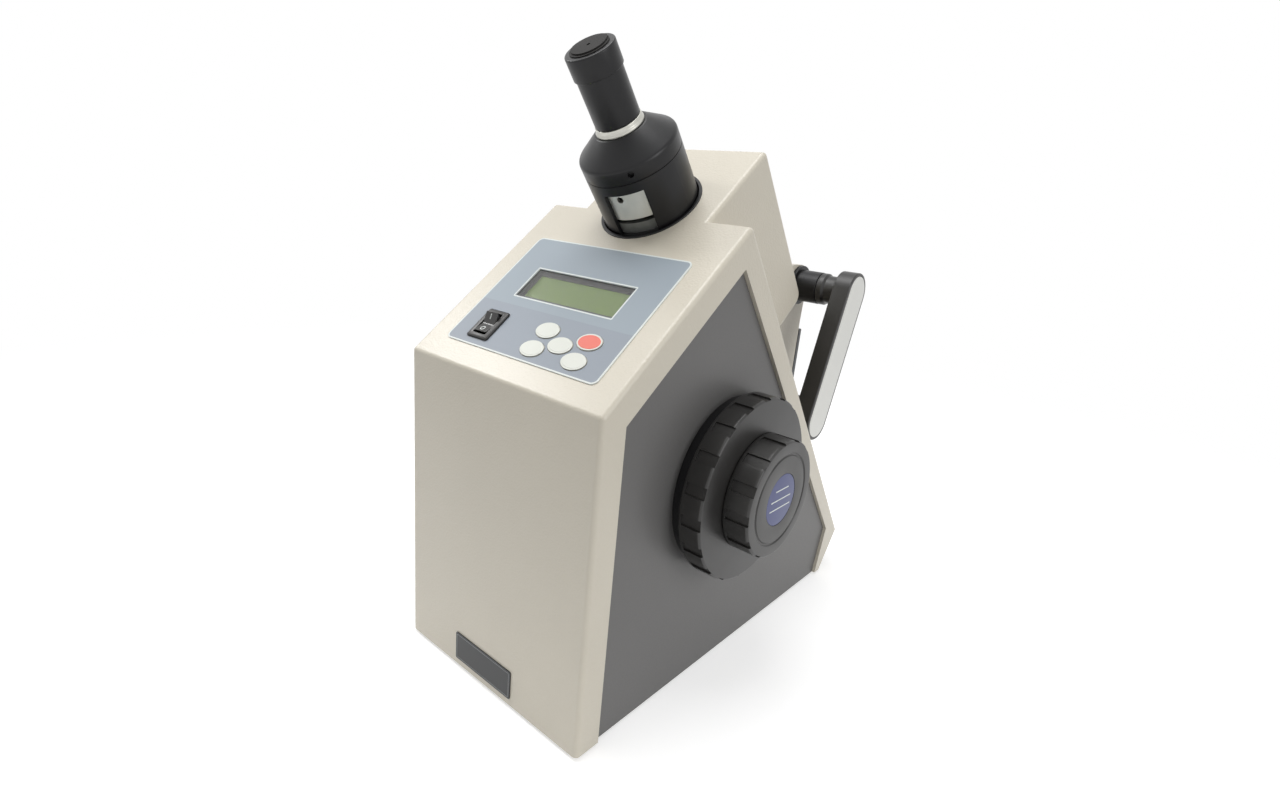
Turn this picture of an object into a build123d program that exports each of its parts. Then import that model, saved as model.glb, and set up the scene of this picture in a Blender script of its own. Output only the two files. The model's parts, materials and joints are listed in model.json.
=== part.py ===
from build123d import *
import math
import os

os.makedirs("parts", exist_ok=True)

# Abbe refractometer with a digital readout, for the bench.
# Millimetres. X runs to the operator's right, Y to the rear, Z up. Z = 0 is the bench top.
# The pieces are drawn from the middle of the front face and saved about the middle of the whole.

# ---------------------------------------------------------------- sizes: casing
foot_h = 2.5
foot_r = 8.0
foot_inset = 16.0
foot_taper = 1.5
body_w = 160.0
front_h = 198.0
slope_deg = 39.2
slope_len = 143.7
rear_len = 331.7
undercut = 21.1
wall = 4.0
side_wall = 7.0
edge_r = 3.0
over = 1.0
touch = 0.05
tower_w = 100.0
tower_len = 69.3
tower_drop = 122.7
tower_corner_r = 8.0
tower_root = 20.0

# side panels, set into the side walls
rim_front = 17.9
rim_top = 17.4
rim_rear_top = 17.3
rim_rear_low = 13.8
rim_knee = 22.0
rim_rear_foot = 11.0
panel_recess = 2.5
panel_t = 2.0
panel_ledge = 6.0
fit_gap = 0.3

base_t = 2.0
base_lift = 1.0

# ---------------------------------------------------------------- sizes: console
label_w = 122.0
label_len = 91.5
label_s = 62.75
label_t = 0.6
label_corner_r = 4.0
label_lip = 0.5
lcd_w = 80.0
lcd_len = 25.0
lcd_x = 0.3
lcd_s = 69.9
lcd_depth = 4.2
lcd_board_t = 3.0
lcd_board_side = 9.0
lcd_board_end = 6.0
lcd_glass_t = 0.9
window_t = 0.5
key_r = 6.6
key_proud = 0.6
key_round = 0.3
key_travel = 0.5
key_stem_r = 2.5
key_stem_len = 7.0
key_x = 23.4
key_s = 32.9
key_dx = 16.2
key_ds = 7.3
key_gap = 0.35
key_board_margin = 12.0
key_post_inset = 4.0
switch_w = 17.5
switch_len = 22.5
switch_x = -36.5
switch_s = 31.2
switch_proud = 2.0
switch_corner_r = 1.5
switch_round = 0.7
switch_depth = 16.0
switch_floor = 2.0
switch_body_w = 13.4
switch_body_len = 18.6
rocker_w = 10.4
rocker_len = 13.8
rocker_tilt = 9.0
rocker_rise = 2.2
rocker_dish = 0.2
rocker_skirt = 4.5
rocker_root = 8.0
rocker_taper = 1.6
rocker_sink = 0.6
rocker_room = 1.2
plate_w = 53.4
plate_h = 19.0
plate_x = -3.2
plate_z = 14.2
plate_t = 0.8

# ---------------------------------------------------------------- sizes: eyepiece
eye_s = 152.0
hole_r = 33.4
collar_lip = 2.2
collar_depth = 6.0
collar_rim = 3.0
collar_proud = 0.8
collar_round = 0.4
barrel_r = 30.6
barrel_wall = 2.3
barrel_top = 33.7
barrel_foot = -14.0
barrel_flange_t = 4.0
seam = 0.25
hood_shoulder = 42.8
hood_shoulder_round = 3.0
hood_top = 53.9
hood_wall = 2.5
hood_neck_r = 16.0
hood_neck_round = 1.2
hood_step = 3.0
hood_spigot = 0.4
hood_bearing = 5.4
hood_gap = 0.1
port_top = 27.8
port_foot = 0.4
port_mid_deg = 20.8
port_span_deg = 49.0
screw_hole_r = 2.2
screw_hole_deg = 38.8
screw_hole_h = 39.0
run_gap = 0.2
drum_wall = 2.5
drum_foot = 9.6
drum_hole_r = 2.1
drum_hole_deg = 13.0
drum_hole_h = 23.5
drum_gap = 2.6
idler_r = 4.0
idler_len = 5.5
idler_axle_r = 1.1
idler_head_r = 1.9
idler_head_t = 1.3
idler_root = 1.0
idler_in = 19.0
disc_t = 2.5
cell_r = 16.0
cell_wall = 2.0
cell_len = 14.0
amici_len = 10.0
compensator_foot = -6.0
sleeve_r = 12.2
sleeve_wall = 2.0
sleeve_foot = 44.0
sleeve_top = 76.0
silver_r = 14.1
silver_flare = 0.9
silver_step = 1.7
silver_round = 0.5
silver_top = 59.0
tube_r = 13.6
cup_foot = 83.2
cup_top = 99.2
cup_r = 14.6
cup_lip = 2.4
cup_lip_t = 4.0
cup_round = 0.8
cup_edge = 0.35
lens_cell_h = 80.0
lens_cell_len = 8.0
lens_cell_wall = 2.4
lens_seat = 1.5
cap_proud = 1.3
cap_plug = 6.0
cap_rim = 1.6
cap_round = 0.5
cap_plug_gap = 0.15
scope_r = 22.0
scope_wall = 2.5
scope_len = 72.0
scope_flange_t = 3.0
scope_lens_seat = 4.0
objective_t = 6.0
reticle_t = 1.5
reticle_seat = 3.0

# ---------------------------------------------------------------- sizes: handwheels
wheel_y = 121.6
wheel_z = 134.0
flange_r = 54.0
flange_proud = 4.6
flange_x = body_w / 2 + flange_proud
flange_round = 1.5
coarse_gap = 0.3
coarse_x = flange_x + coarse_gap
coarse_r = 58.1
coarse_w = 14.9
coarse_grips = 19
coarse_grip_deg = 1.2
fine_gap = 0.3
fine_r = 36.7
fine_w = 17.1
fine_grips = 13
fine_grip_deg = 12.1
fine_ring_r = 28.3
fine_ring_w = 1.0
fine_ring_t = 0.7
grip_share = 0.375
grip_depth = 1.1
grip_end = 2.0
disc_r = 16.3
disc_face_t = 0.6
disc_gap = 0.1
rim_round = 1.5
rim_back_round = 0.8
boss_r = 16.0
race_r = 10.0
shaft_gap = 0.04
shaft_step = 1.0
fine_shaft_r = 4.0
drive_ball_x = 66.0
drive_ball_n = 3
boss_x = 52.5
roller_r = 12.0
roller_x = 44.6
roller_w = 6.0

# ---------------------------------------------------------------- sizes: mirror and its drive
mirror_s = 105.0
mirror_h = -150.0
sector_gap = 0.05
sector_t = 4.6
sector_half_deg = 27.0
sector_hub_r = 9.0
sector_rim = 9.0
sector_slot_deg = 18.0
sector_slot_r = 15.0
mirror_shaft_r = 5.0
mirror_w = 40.0
mirror_len = 30.0
mirror_t = 2.0
mirror_bed = 0.6
carrier_edge = 4.0
carrier_lip = 2.0
shaft_tail = 2.0
frame_x = 30.0
frame_t = 5.0
frame_len = 34.0
frame_head = 10.0
frame_shoulder = 4.0
frame_band = 7.0
frame_web = 16.0
frame_sole_t = 4.0
fold_t = 2.0
fold_w = 34.0
fold_len = 34.0
fold_drop = 18.0
fold_cheek_t = 3.0
fold_cheek_edge = 2.0
fold_cheek_corner = 5.0
fold_cheek_low = 1.5
glass_gap = 0.05

# ---------------------------------------------------------------- sizes: rear bracket and prisms
cheek_x = 19.0
cheek_t = 6.0
bracket_base_t = 6.0
bracket_foot = 240.0
bracket_root = 95.0
bracket_rear_y = 297.0
bracket_rear_top = 211.5
bracket_rear_low = 160.0
bracket_heel_y = 282.0
bracket_heel_z = 126.0
prism_z = 142.0
prism_box_gap = 0.7
prism_box_floor = 112.0
prism_box_rear = 292.0
prism_sill = 4.0
prism_len = 36.0
prism_w = 24.0
prism_deep = 14.0
joint_gap = 0.3
lid_y0 = 243.0
lid_top = 166.0
lid_rear = 316.0
lid_plate_t = 4.0
lid_plate_top = 201.5
lid_plate_round = 1.5
lid_web = 4.0
lid_toe = 2.0
lid_window_w = 16.0
lid_window_h = 8.0
lid_window_lip = 3.0
lid_nozzle_in = 20.0
hinge_y = 236.0
hinge_z = 163.0
hinge_r = 7.0
hinge_pin_r = 3.0
hinge_pin_proud = 0.5
entry_deep = 12.0
entry_len = 30.0
lid_knob_r = 6.0
lid_knob_len = 11.0
lid_knob_z = 186.0
lid_knob_round = 1.0
nozzle_r = 3.0
nozzle_bore_r = 1.8
nozzle_len = 14.0
nozzle_x = 9.5
nozzle_flange = 1.5
nozzle_flange_t = 2.5
nozzle_barb = 0.6
nozzle_barb_len = 3.0
nozzle_up = 12.0
light_r = 11.0
port_w = 28.0
port_len = 30.0
port_h = -197.0
exit_len = 12.0
exit_w = 18.0

# ---------------------------------------------------------------- sizes: lamp arm
arm_len = 100.7
arm_deg = 17.7
light_y = 253.08
light_z = 145.77
boss_pad_r = 16.0
pivot_tube_r = 12.4
pivot_tube_x = 45.5
pivot_flange_t = 3.0
pivot_round = 0.6
pivot_play = 0.5
pivot_shaft_r = 8.0
hub_r = 12.2
hub_len = 4.4
neck_r = 10.8
neck_taper = 1.4
arm_in_x = 61.3
arm_t = 13.4
arm_r = 16.05
arm_round = 1.6
inlay_border = 2.1
inlay_t = 0.8
inlay_proud = 0.2
lamp_r = 15.0
lamp_x = 38.0
lamp_wall = 2.4
lamp_spigot_r = 9.0
lamp_spigot_len = 8.0
lamp_lens_t = 3.0
lamp_round = 1.0
lamp_floor = 4.0
bulb_r = 4.5
bulb_out = 8.0
bulb_gap = 0.1

# ---------------------------------------------------------------- sizes: inside the casing
board_w = 120.0
board_len = 78.0
board_t = 1.6
board_y = 72.0
spacer_h = 6.0
spacer_r = 3.0
post_inset = 6.0
chip_w = 26.0
chip_len = 18.0
chip_h = 4.0
chip_x = -20.0
edge_plug_w = 14.0
edge_plug_len = 40.0
edge_plug_h = 6.0
edge_plug_x = 24.0
edge_plug_y = 14.0
supply_w = 88.0
supply_len = 52.0
supply_h = 34.0
supply_rear = 6.4
supply_round = 2.0
key_board_t = 1.6
inlet_y = 205.0
inlet_z = 36.0
inlet_w = 50.0
inlet_h = 27.0
inlet_flange_t = 2.5
inlet_ear = 3.0
inlet_corner_r = 4.0
inlet_seat = 2.0
inlet_deep = 18.0
inlet_well_w = 27.0
inlet_well_h = 17.0
inlet_well_deep = 15.0
pin_w = 2.0
pin_h = 4.0
pin_dx = 7.0
pin_low = -2.0
pin_high = 3.0
serial_y = 140.0
serial_z = 34.0
serial_w = 31.0
serial_h = 12.5
serial_flange_t = 1.2
serial_shell_w = 17.0
serial_shell_h = 8.5
serial_shell_t = 0.7
serial_proud = 5.0
serial_deep = 10.0

# ---------------------------------------------------------------- frames
a = math.radians(slope_deg)
ca = math.cos(a)
sa = math.sin(a)
front_z = foot_h + front_h


def sh(s, h):
    """Point in the Y-Z plane, s up the console slope from the front edge, h out of it."""
    return (s * ca - h * sa, front_z + s * sa + h * ca)


def up(y, z):
    """Point in the Y-Z plane, z above the underside of the casing."""
    return (y, foot_h + z)


side = Plane(origin=(0, 0, 0), x_dir=(0, 1, 0), z_dir=(1, 0, 0))
console = Plane(origin=(0, 0, front_z), x_dir=(1, 0, 0), z_dir=(0, -sa, ca)).location
eye = console * Pos(0, eye_s, 0)


def to_sh(y, z):
    """The (s, h) of a point in the Y-Z plane."""
    return (y * ca + (z - front_z) * sa, -y * sa + (z - front_z) * ca)


seat_s = slope_len + bracket_base_t


def seat_y(z):
    """Y of the rear bracket's floor at height z."""
    return (seat_s - (z - front_z) * sa) / ca


def mirror_deg(at, start, end):
    """Tilt of a mirror at one (s, h) point that sends light from the start point to the end point."""
    to_start = math.atan2(start[1] - at[1], start[0] - at[0])
    to_end = math.atan2(end[1] - at[1], end[0] - at[0])
    return math.degrees((to_start + to_end) / 2) - 90


def outline(points):
    """Face with straight sides. A third value of a point is the radius of that corner."""
    face = Polygon(*[point[:2] for point in points], align=None)
    for point in points:
        if len(point) == 3:
            corner = face.vertices().sort_by_distance((point[0], point[1]))[0]
            face = fillet(corner, point[2])
    return face


def slab(points, x0, x1):
    """Profile in the Y-Z plane, given as (y, z) points, between two X stations."""
    return extrude(Pos(x0, 0, 0) * (side * outline(points)), amount=x1 - x0, dir=(1, 0, 0))


def rod_x(y, z, r, x0, x1):
    """Round bar parallel to X."""
    start = Plane(origin=(x0, y, z), x_dir=(0, 1, 0), z_dir=(1, 0, 0))
    return extrude(start * Circle(r), amount=x1 - x0)


def rod_h(r, h0, h1):
    """Round bar on the eyepiece axis, h measured out of the console slope."""
    return eye * Pos(0, 0, h0) * extrude(Circle(r), amount=h1 - h0)


def ring_h(r_out, r_in, h0, h1):
    return rod_h(r_out, h0, h1) - rod_h(r_in, h0 - over, h1 + over)


def turned_h(points):
    """Turned piece on the eyepiece axis from (radius, h) points."""
    return eye * revolve(Plane.XZ * outline(points), Axis.Z)


def turned_x(y, z, points):
    """Turned piece on an axis parallel to X from (radius, x) points."""
    shape = revolve(Plane.XZ * outline(points), Axis.Z)
    return Pos(0, y, z) * Rot(0, 90, 0) * shape


def on_eye(deg, r, h):
    """Place on the barrel: deg from the front towards +X, r from the axis, h out of the slope."""
    t = math.radians(deg)
    return eye * Pos(r * math.sin(t), -r * math.cos(t), h) * Rot(0, 0, deg)


middle_x = (coarse_x + coarse_w + fine_gap + fine_w - body_w / 2) / 2
middle_y = (lid_rear + lid_knob_len - plate_t) / 2


def save(name, shape):
    """Write one piece, moved so that the middle of the whole stands at X = Y = 0."""
    placed = Pos(-middle_x, -middle_y, 0) * shape
    placed.label = name
    export_step(placed, "parts/" + name + ".step")


# ---------------------------------------------------------------- casing
apex = sh(slope_len, 0)
knee = sh(slope_len, -rear_len)
casing_profile = [
    (0, foot_h),
    (0, front_z),
    apex,
    knee,
    (knee[0] - undercut, foot_h),
]
tower_s = slope_len + tower_len
tower_profile = [
    sh(slope_len - tower_root, 0),
    sh(tower_s, 0),
    sh(tower_s, -tower_drop),
    sh(slope_len - tower_root, -tower_drop),
]

outer = slab(casing_profile, -body_w / 2, body_w / 2)
front_edges = outer.edges().filter_by(Axis.X).group_by(Axis.Z)[-2:]
round_edges = [e for g in front_edges for e in g]
end_edges = [e for e in outer.edges() if not e.geom_type == GeomType.CIRCLE]
end_edges = [e for e in end_edges if abs(e.center().X) > body_w / 2 - 0.01 and e.center().Z > foot_h + over]
outer = fillet(round_edges + end_edges, edge_r)

tower = slab(tower_profile, -tower_w / 2, tower_w / 2)
low_rear = tower.edges().filter_by(Axis.X).sort_by(Axis.Y)[-1]
tower = fillet(low_rear, tower_corner_r)
tower_ends = [e for e in tower.edges() if abs(e.center().X) > tower_w / 2 - 0.01]
rear_ends = [e for e in tower_ends if (e.center().Y * ca + (e.center().Z - front_z) * sa) > slope_len]
top_rear = [e for e in tower.edges().filter_by(Axis.X) if abs(e.center().Y - sh(tower_s, 0)[0]) < 0.1]
tower = fillet(rear_ends + top_rear, edge_r)
outer = outer + tower

inner_profile = [
    (wall, foot_h - over),
    (wall, front_z - wall * (1 - sa) / ca),
    sh(slope_len - wall, -wall),
    sh(slope_len - wall, -rear_len - 0.6 * wall),
    (knee[0] - undercut - 1.3 * wall, foot_h - over),
]
cavity = slab(inner_profile, -body_w / 2 + side_wall, body_w / 2 - side_wall)
tower_cavity = slab(
    [
        sh(slope_len - tower_root, -wall),
        sh(tower_s - wall, -wall),
        sh(tower_s - wall, -tower_drop + wall),
        sh(slope_len - tower_root, -tower_drop + wall),
    ],
    -tower_w / 2 + wall,
    tower_w / 2 - wall,
)

# the side openings, with a ledge that the panels seat on
panel_top = front_z + (rim_front * sa - rim_top) / ca
panel_profile = [
    (rim_front, foot_h),
    (rim_front, panel_top),
    sh(slope_len - rim_rear_top, -rim_top),
    sh(slope_len - rim_rear_low, -rear_len + rim_knee),
    (knee[0] - undercut - rim_rear_foot, foot_h),
]
side_face = Polygon(*panel_profile, align=None)
pocket_face = offset(side_face, fit_gap)
ledge_face = offset(side_face, -panel_ledge)
panel_in = body_w / 2 - panel_recess - panel_t


def both_sides(face, x0, x1):
    right = extrude(Pos(x0, 0, 0) * (side * face), amount=x1 - x0, dir=(1, 0, 0))
    left = extrude(Pos(-x1, 0, 0) * (side * face), amount=x1 - x0, dir=(1, 0, 0))
    return right + left


pocket = both_sides(pocket_face, panel_in, body_w / 2 + over)
through = both_sides(ledge_face, body_w / 2 - side_wall - over, panel_in + over)

casing = outer - cavity - tower_cavity
casing -= pocket
casing -= through

# openings in the console
through_wall = wall + 2 * over
casing -= eye * Pos(0, 0, -wall - over) * extrude(Circle(hole_r), amount=through_wall)
lcd_cut = Pos(lcd_x, lcd_s, -wall - over) * extrude(Rectangle(lcd_w, lcd_len), amount=through_wall)
casing -= console * lcd_cut
switch_cut_face = Rectangle(switch_body_w + 2 * fit_gap, switch_body_len + 2 * fit_gap)
casing -= console * Pos(switch_x, switch_s, -wall - over) * extrude(switch_cut_face, amount=through_wall)
key_places = [
    (key_x - key_dx, key_s + key_ds),
    (key_x + key_dx, key_s + key_ds),
    (key_x, key_s),
    (key_x - key_dx, key_s - key_ds),
    (key_x + key_dx, key_s - key_ds),
]
key_sink = key_travel + key_gap
for kx, ks in key_places:
    casing -= console * Pos(kx, ks, -wall - over) * extrude(Circle(key_stem_r + key_gap), amount=through_wall)
    casing -= console * Pos(kx, ks, -key_sink) * extrude(Circle(key_r + key_gap), amount=key_sink + over)

# light way from the prisms through the rear slope to the swinging mirror
light_way = Pos(0, slope_len - wall - over, port_h) * Box(
    port_w, through_wall, port_len, align=(Align.CENTER, Align.MIN, Align.CENTER)
)
casing -= console * light_way
save("main_casing", casing)

# ---------------------------------------------------------------- side panels
panel_out = body_w / 2 - panel_recess
side_panel = extrude(Pos(panel_in, 0, 0) * (side * side_face), amount=panel_t, dir=(1, 0, 0))
right_panel = side_panel - rod_x(*up(wheel_y, wheel_z), boss_r + fit_gap, panel_in - over, panel_out + over)
save("right_side_panel", right_panel)

inlet_hole = Pos(-body_w / 2, inlet_y, foot_h + inlet_z) * Box(
    2 * side_wall, inlet_w - 2 * inlet_seat, inlet_h - 2 * inlet_seat
)
serial_hole = Pos(-body_w / 2, serial_y, foot_h + serial_z) * Box(
    2 * side_wall, serial_shell_w + 2 * fit_gap, serial_shell_h + 2 * fit_gap
)
left_panel = mirror(side_panel, Plane.YZ) - inlet_hole - serial_hole
save("left_side_panel", left_panel)

# ---------------------------------------------------------------- base plate and feet
base_profile = [
    (wall + fit_gap, foot_h + base_lift),
    (wall + fit_gap, foot_h + base_lift + base_t),
    (knee[0] - undercut - 1.3 * wall - fit_gap, foot_h + base_lift + base_t),
    (knee[0] - undercut - 1.3 * wall - fit_gap - 0.6 * base_t, foot_h + base_lift),
]
base_half = body_w / 2 - side_wall - fit_gap
base_plate = slab(base_profile, -base_half, base_half)
foot_rear_y = knee[0] - undercut - wall - foot_inset
foot_places = []
for fy in (wall + foot_inset, foot_rear_y):
    for fx in (-base_half + foot_inset, base_half - foot_inset):
        foot_places.append((fx, fy))
save("base_plate", base_plate)

feet = Part()
for fx, fy in foot_places:
    lower = revolve(
        Plane.XZ * Polygon((0, 0), (foot_r - foot_taper, 0), (foot_r, foot_h + base_lift), (0, foot_h + base_lift), align=None),
        Axis.Z,
    )
    feet += Pos(fx, fy, 0) * lower
save("rubber_feet", feet)

# ---------------------------------------------------------------- console pieces
label = extrude(RectangleRounded(label_w, label_len, label_corner_r), amount=label_t)
label = Pos(0, label_s, 0) * label
label_cut = label_t + 2 * over
label_window = Rectangle(lcd_w - 2 * label_lip, lcd_len - 2 * label_lip)
label -= Pos(lcd_x, lcd_s, -over) * extrude(label_window, amount=label_cut)
label_notch = Rectangle(switch_w + fit_gap, switch_len + fit_gap)
label -= Pos(switch_x, switch_s, -over) * extrude(label_notch, amount=label_cut)
for kx, ks in key_places:
    label -= Pos(kx, ks, -over) * extrude(Circle(key_r + key_gap), amount=label_cut)
save("console_label", console * label)

window = Pos(lcd_x, lcd_s, -window_t) * extrude(Rectangle(lcd_w - 2 * fit_gap, lcd_len - 2 * fit_gap), amount=window_t)
save("display_window", console * window)

lcd_board = Rectangle(lcd_w + 2 * lcd_board_side, lcd_len + 2 * lcd_board_end)
lcd = Pos(lcd_x, lcd_s, -lcd_depth - lcd_board_t) * extrude(lcd_board, amount=lcd_board_t)
lcd_glass = Pos(lcd_x, lcd_s, -lcd_depth) * extrude(label_window, amount=lcd_glass_t)
save("display_module", console * (lcd + lcd_glass))


def key_solid(kx, ks):
    cap = Pos(kx, ks, label_t) * extrude(Circle(key_r), amount=key_proud)
    cap = fillet(cap.edges().group_by(Axis.Z)[-1], key_round)
    cap += Pos(kx, ks, 0) * extrude(Circle(key_r), amount=label_t)
    stem = Pos(kx, ks, -key_stem_len) * extrude(Circle(key_stem_r), amount=key_stem_len)
    return console * (cap + stem)


key_names = ["key_rear_left", "key_rear_right", "key_middle", "key_front_left", "key_front_right"]
for name, (kx, ks) in zip(key_names, key_places):
    save(name, key_solid(kx, ks))

board_drop = key_stem_len + key_travel + fit_gap
key_board = Pos(key_x, key_s, -board_drop - key_board_t) * Box(
    2 * (key_dx + key_board_margin),
    2 * (key_ds + key_board_margin),
    key_board_t,
    align=(Align.CENTER, Align.CENTER, Align.MIN),
)
post_dx = key_dx + key_board_margin - key_post_inset
post_ds = key_ds + key_board_margin - key_post_inset
for px in (-1, 1):
    for py in (-1, 1):
        post = extrude(Circle(spacer_r), amount=board_drop - wall)
        key_board += Pos(key_x + px * post_dx, key_s + py * post_ds, -board_drop) * post

# power switch: frame and rocker
bezel_face = RectangleRounded(switch_w, switch_len, switch_corner_r)
bezel = Pos(switch_x, switch_s, label_t) * extrude(bezel_face, amount=switch_proud - label_t)
bezel = fillet(bezel.edges().group_by(Axis.Z)[-1], switch_round)
bezel += Pos(switch_x, switch_s, 0) * extrude(bezel_face, amount=label_t)
bezel += Pos(switch_x, switch_s, -switch_depth) * extrude(Rectangle(switch_body_w, switch_body_len), amount=switch_depth)
well = Rectangle(rocker_w + 2 * fit_gap, rocker_len + 2 * (rocker_room + fit_gap))
bezel -= Pos(switch_x, switch_s, -switch_depth + switch_floor) * extrude(well, amount=switch_depth + over)
save("switch_frame", console * bezel)

half = rocker_len / 2
dish_side = rocker_dish + (rocker_rise - rocker_dish) / 4
rocker_outline = [
    (-half, rocker_rise),
    (-half / 2, dish_side),
    (0, rocker_dish),
    (half / 2, dish_side),
    (half, rocker_rise),
    (half - rocker_taper, -rocker_skirt),
    (0, -rocker_root),
    (-half + rocker_taper, -rocker_skirt),
]
rocker = slab(rocker_outline, -rocker_w / 2, rocker_w / 2)
rocker_at = Pos(switch_x, switch_s, switch_proud - rocker_sink)
save("power_rocker", console * rocker_at * Rot(rocker_tilt, 0, 0) * rocker)

# nameplate low on the front
plate = Pos(plate_x, 0, foot_h + plate_z) * Box(
    plate_w, plate_t, plate_h, align=(Align.CENTER, Align.MAX, Align.CENTER)
)
save("nameplate", plate)

# ---------------------------------------------------------------- eyepiece and telescope
collar = turned_h(
    [
        (hole_r - collar_lip, -collar_depth),
        (hole_r + collar_rim, -collar_depth),
        (hole_r + collar_rim, -wall - touch),
        (hole_r - touch, -wall - touch),
        (hole_r - touch, collar_proud, collar_round),
        (hole_r - collar_lip, collar_proud, collar_round),
    ]
)
save("barrel_collar", collar)

barrel_in = barrel_r - barrel_wall
barrel = turned_h(
    [
        (barrel_r, barrel_foot),
        (barrel_r, barrel_top),
        (barrel_in, barrel_top),
        (barrel_in, barrel_foot + barrel_flange_t),
        (scope_r + fit_gap, barrel_foot + barrel_flange_t),
        (scope_r + fit_gap, barrel_foot),
    ]
)
port_half = math.radians(port_span_deg / 2)
port_reach = barrel_r + over
port_wedge = extrude(
    Polygon(
        (0, 0),
        (-port_reach * math.tan(port_half), -port_reach),
        (port_reach * math.tan(port_half), -port_reach),
        align=None,
    ),
    amount=port_top - port_foot,
)
barrel -= eye * Rot(0, 0, port_mid_deg) * Pos(0, 0, port_foot) * port_wedge
axle_h = drum_foot - drum_gap / 2
idler_at = eye * Pos(0, 0, axle_h) * Rot(-90, 0, 0)
idler_axle = extrude(Circle(idler_axle_r), amount=barrel_r - fit_gap - idler_in + idler_root)
idler_head = extrude(Circle(idler_head_r), amount=idler_head_t)
idler_axle += Pos(0, 0, idler_root - fit_gap - idler_head_t) * idler_head
barrel += idler_at * Pos(0, 0, idler_in - idler_root) * idler_axle
save("telescope_barrel", barrel)

hood_points = [
    (barrel_in - hood_spigot, barrel_top + seam),
    (barrel_r, barrel_top + seam),
    (barrel_r, hood_shoulder, hood_shoulder_round),
    (hood_neck_r, hood_top, hood_neck_round),
    (sleeve_r + hood_gap, hood_top),
    (sleeve_r + hood_gap, hood_top - hood_bearing),
    (barrel_r - hood_wall, hood_shoulder - hood_wall),
    (barrel_r - hood_wall, barrel_top + hood_step),
    (barrel_in - hood_spigot, barrel_top + hood_step),
]
hood = turned_h(hood_points)
hood += ring_h(barrel_in - touch, barrel_in - hood_wall, barrel_top, barrel_top + hood_step)
screw_hole = extrude(Circle(screw_hole_r), amount=hood_wall + 2 * over)
hood -= on_eye(screw_hole_deg, barrel_r - hood_wall, screw_hole_h) * Rot(90, 0, 0) * screw_hole
save("barrel_hood", hood)

# dispersion compensator: two prism cells that turn opposite ways, with an idler between them
drum_r = barrel_in - run_gap
drum_in = drum_r - drum_wall
disc_in = cell_r - cell_wall
upper_face = axle_h + idler_r + touch
drum = ring_h(drum_r, drum_in, drum_foot, barrel_top - fit_gap)
drum += ring_h(drum_in + touch, disc_in, upper_face, upper_face + disc_t)
drum += ring_h(cell_r, disc_in, upper_face, upper_face + cell_len)
drum_hole = extrude(Circle(drum_hole_r), amount=drum_wall + 2 * over)
drum -= on_eye(drum_hole_deg, drum_in - over, drum_hole_h) * Rot(90, 0, 0) * drum_hole
save("dispersion_drum", drum)

lower_face = axle_h - idler_r - touch
counter = ring_h(drum_r, drum_in, compensator_foot, drum_foot - drum_gap)
counter += ring_h(drum_in + touch, disc_in, lower_face - disc_t, lower_face)
counter += ring_h(cell_r, disc_in, lower_face - cell_len, lower_face)
save("counter_cell", counter)

glass_side = (disc_in - touch) * math.sqrt(2)
glass_inset = (cell_len - amici_len) / 2
upper_glass = Pos(0, 0, upper_face + glass_inset) * Box(
    glass_side, glass_side, amici_len, align=(Align.CENTER, Align.CENTER, Align.MIN)
)
save("upper_amici_prism", eye * upper_glass)
lower_glass = Pos(0, 0, lower_face - glass_inset - amici_len) * Box(
    glass_side, glass_side, amici_len, align=(Align.CENTER, Align.CENTER, Align.MIN)
)
save("lower_amici_prism", eye * lower_glass)

idler = extrude(Circle(idler_r), amount=idler_len) - extrude(Circle(idler_axle_r + shaft_gap), amount=idler_len)
save("compensator_idler", idler_at * Pos(0, 0, idler_in) * idler)

# silver sleeve that the eye tube turns on
sleeve = turned_h(
    [
        (sleeve_r - sleeve_wall, sleeve_foot),
        (sleeve_r, sleeve_foot),
        (sleeve_r, hood_top + touch),
        (silver_r + silver_flare, hood_top + touch),
        (silver_r + silver_flare, hood_top + silver_step, silver_round),
        (silver_r, hood_top + 2 * silver_step, silver_round),
        (silver_r, silver_top),
        (sleeve_r, silver_top),
        (sleeve_r, sleeve_top),
        (sleeve_r - sleeve_wall, sleeve_top),
    ]
)
save("eyepiece_sleeve", sleeve)
reticle_h = sleeve_foot + reticle_seat
reticle = rod_h(sleeve_r - sleeve_wall - touch, reticle_h, reticle_h + reticle_t)

tube_in = sleeve_r + shaft_gap
cup_bore = tube_in - cup_lip
eye_tube = turned_h(
    [
        (tube_in, silver_top + seam),
        (tube_r, silver_top + seam),
        (tube_r, cup_foot),
        (cup_r, cup_foot, cup_edge),
        (cup_r, cup_top, cup_round),
        (cup_bore, cup_top),
        (cup_bore, cup_top - cup_lip_t),
        (tube_in, cup_top - cup_lip_t),
    ]
)
save("eye_tube", eye_tube)

dust_cap = turned_h(
    [
        (0, cup_top - cap_plug),
        (cup_bore - cap_plug_gap, cup_top - cap_plug),
        (cup_bore - cap_plug_gap, cup_top + touch),
        (cup_bore + cap_rim, cup_top + touch),
        (cup_bore + cap_rim, cup_top + cap_proud, cap_round),
        (0, cup_top + cap_proud),
    ]
)
save("dust_cap", dust_cap)

cell_out = tube_in - shaft_gap
lens_cell = ring_h(cell_out, cell_out - lens_cell_wall, lens_cell_h, lens_cell_h + lens_cell_len)
save("eye_lens_cell", lens_cell)
eye_lens_r = cell_out - lens_cell_wall
eye_lens = rod_h(eye_lens_r, lens_cell_h + lens_seat, lens_cell_h + lens_cell_len - lens_seat)
save("eye_lens", eye_lens)

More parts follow.
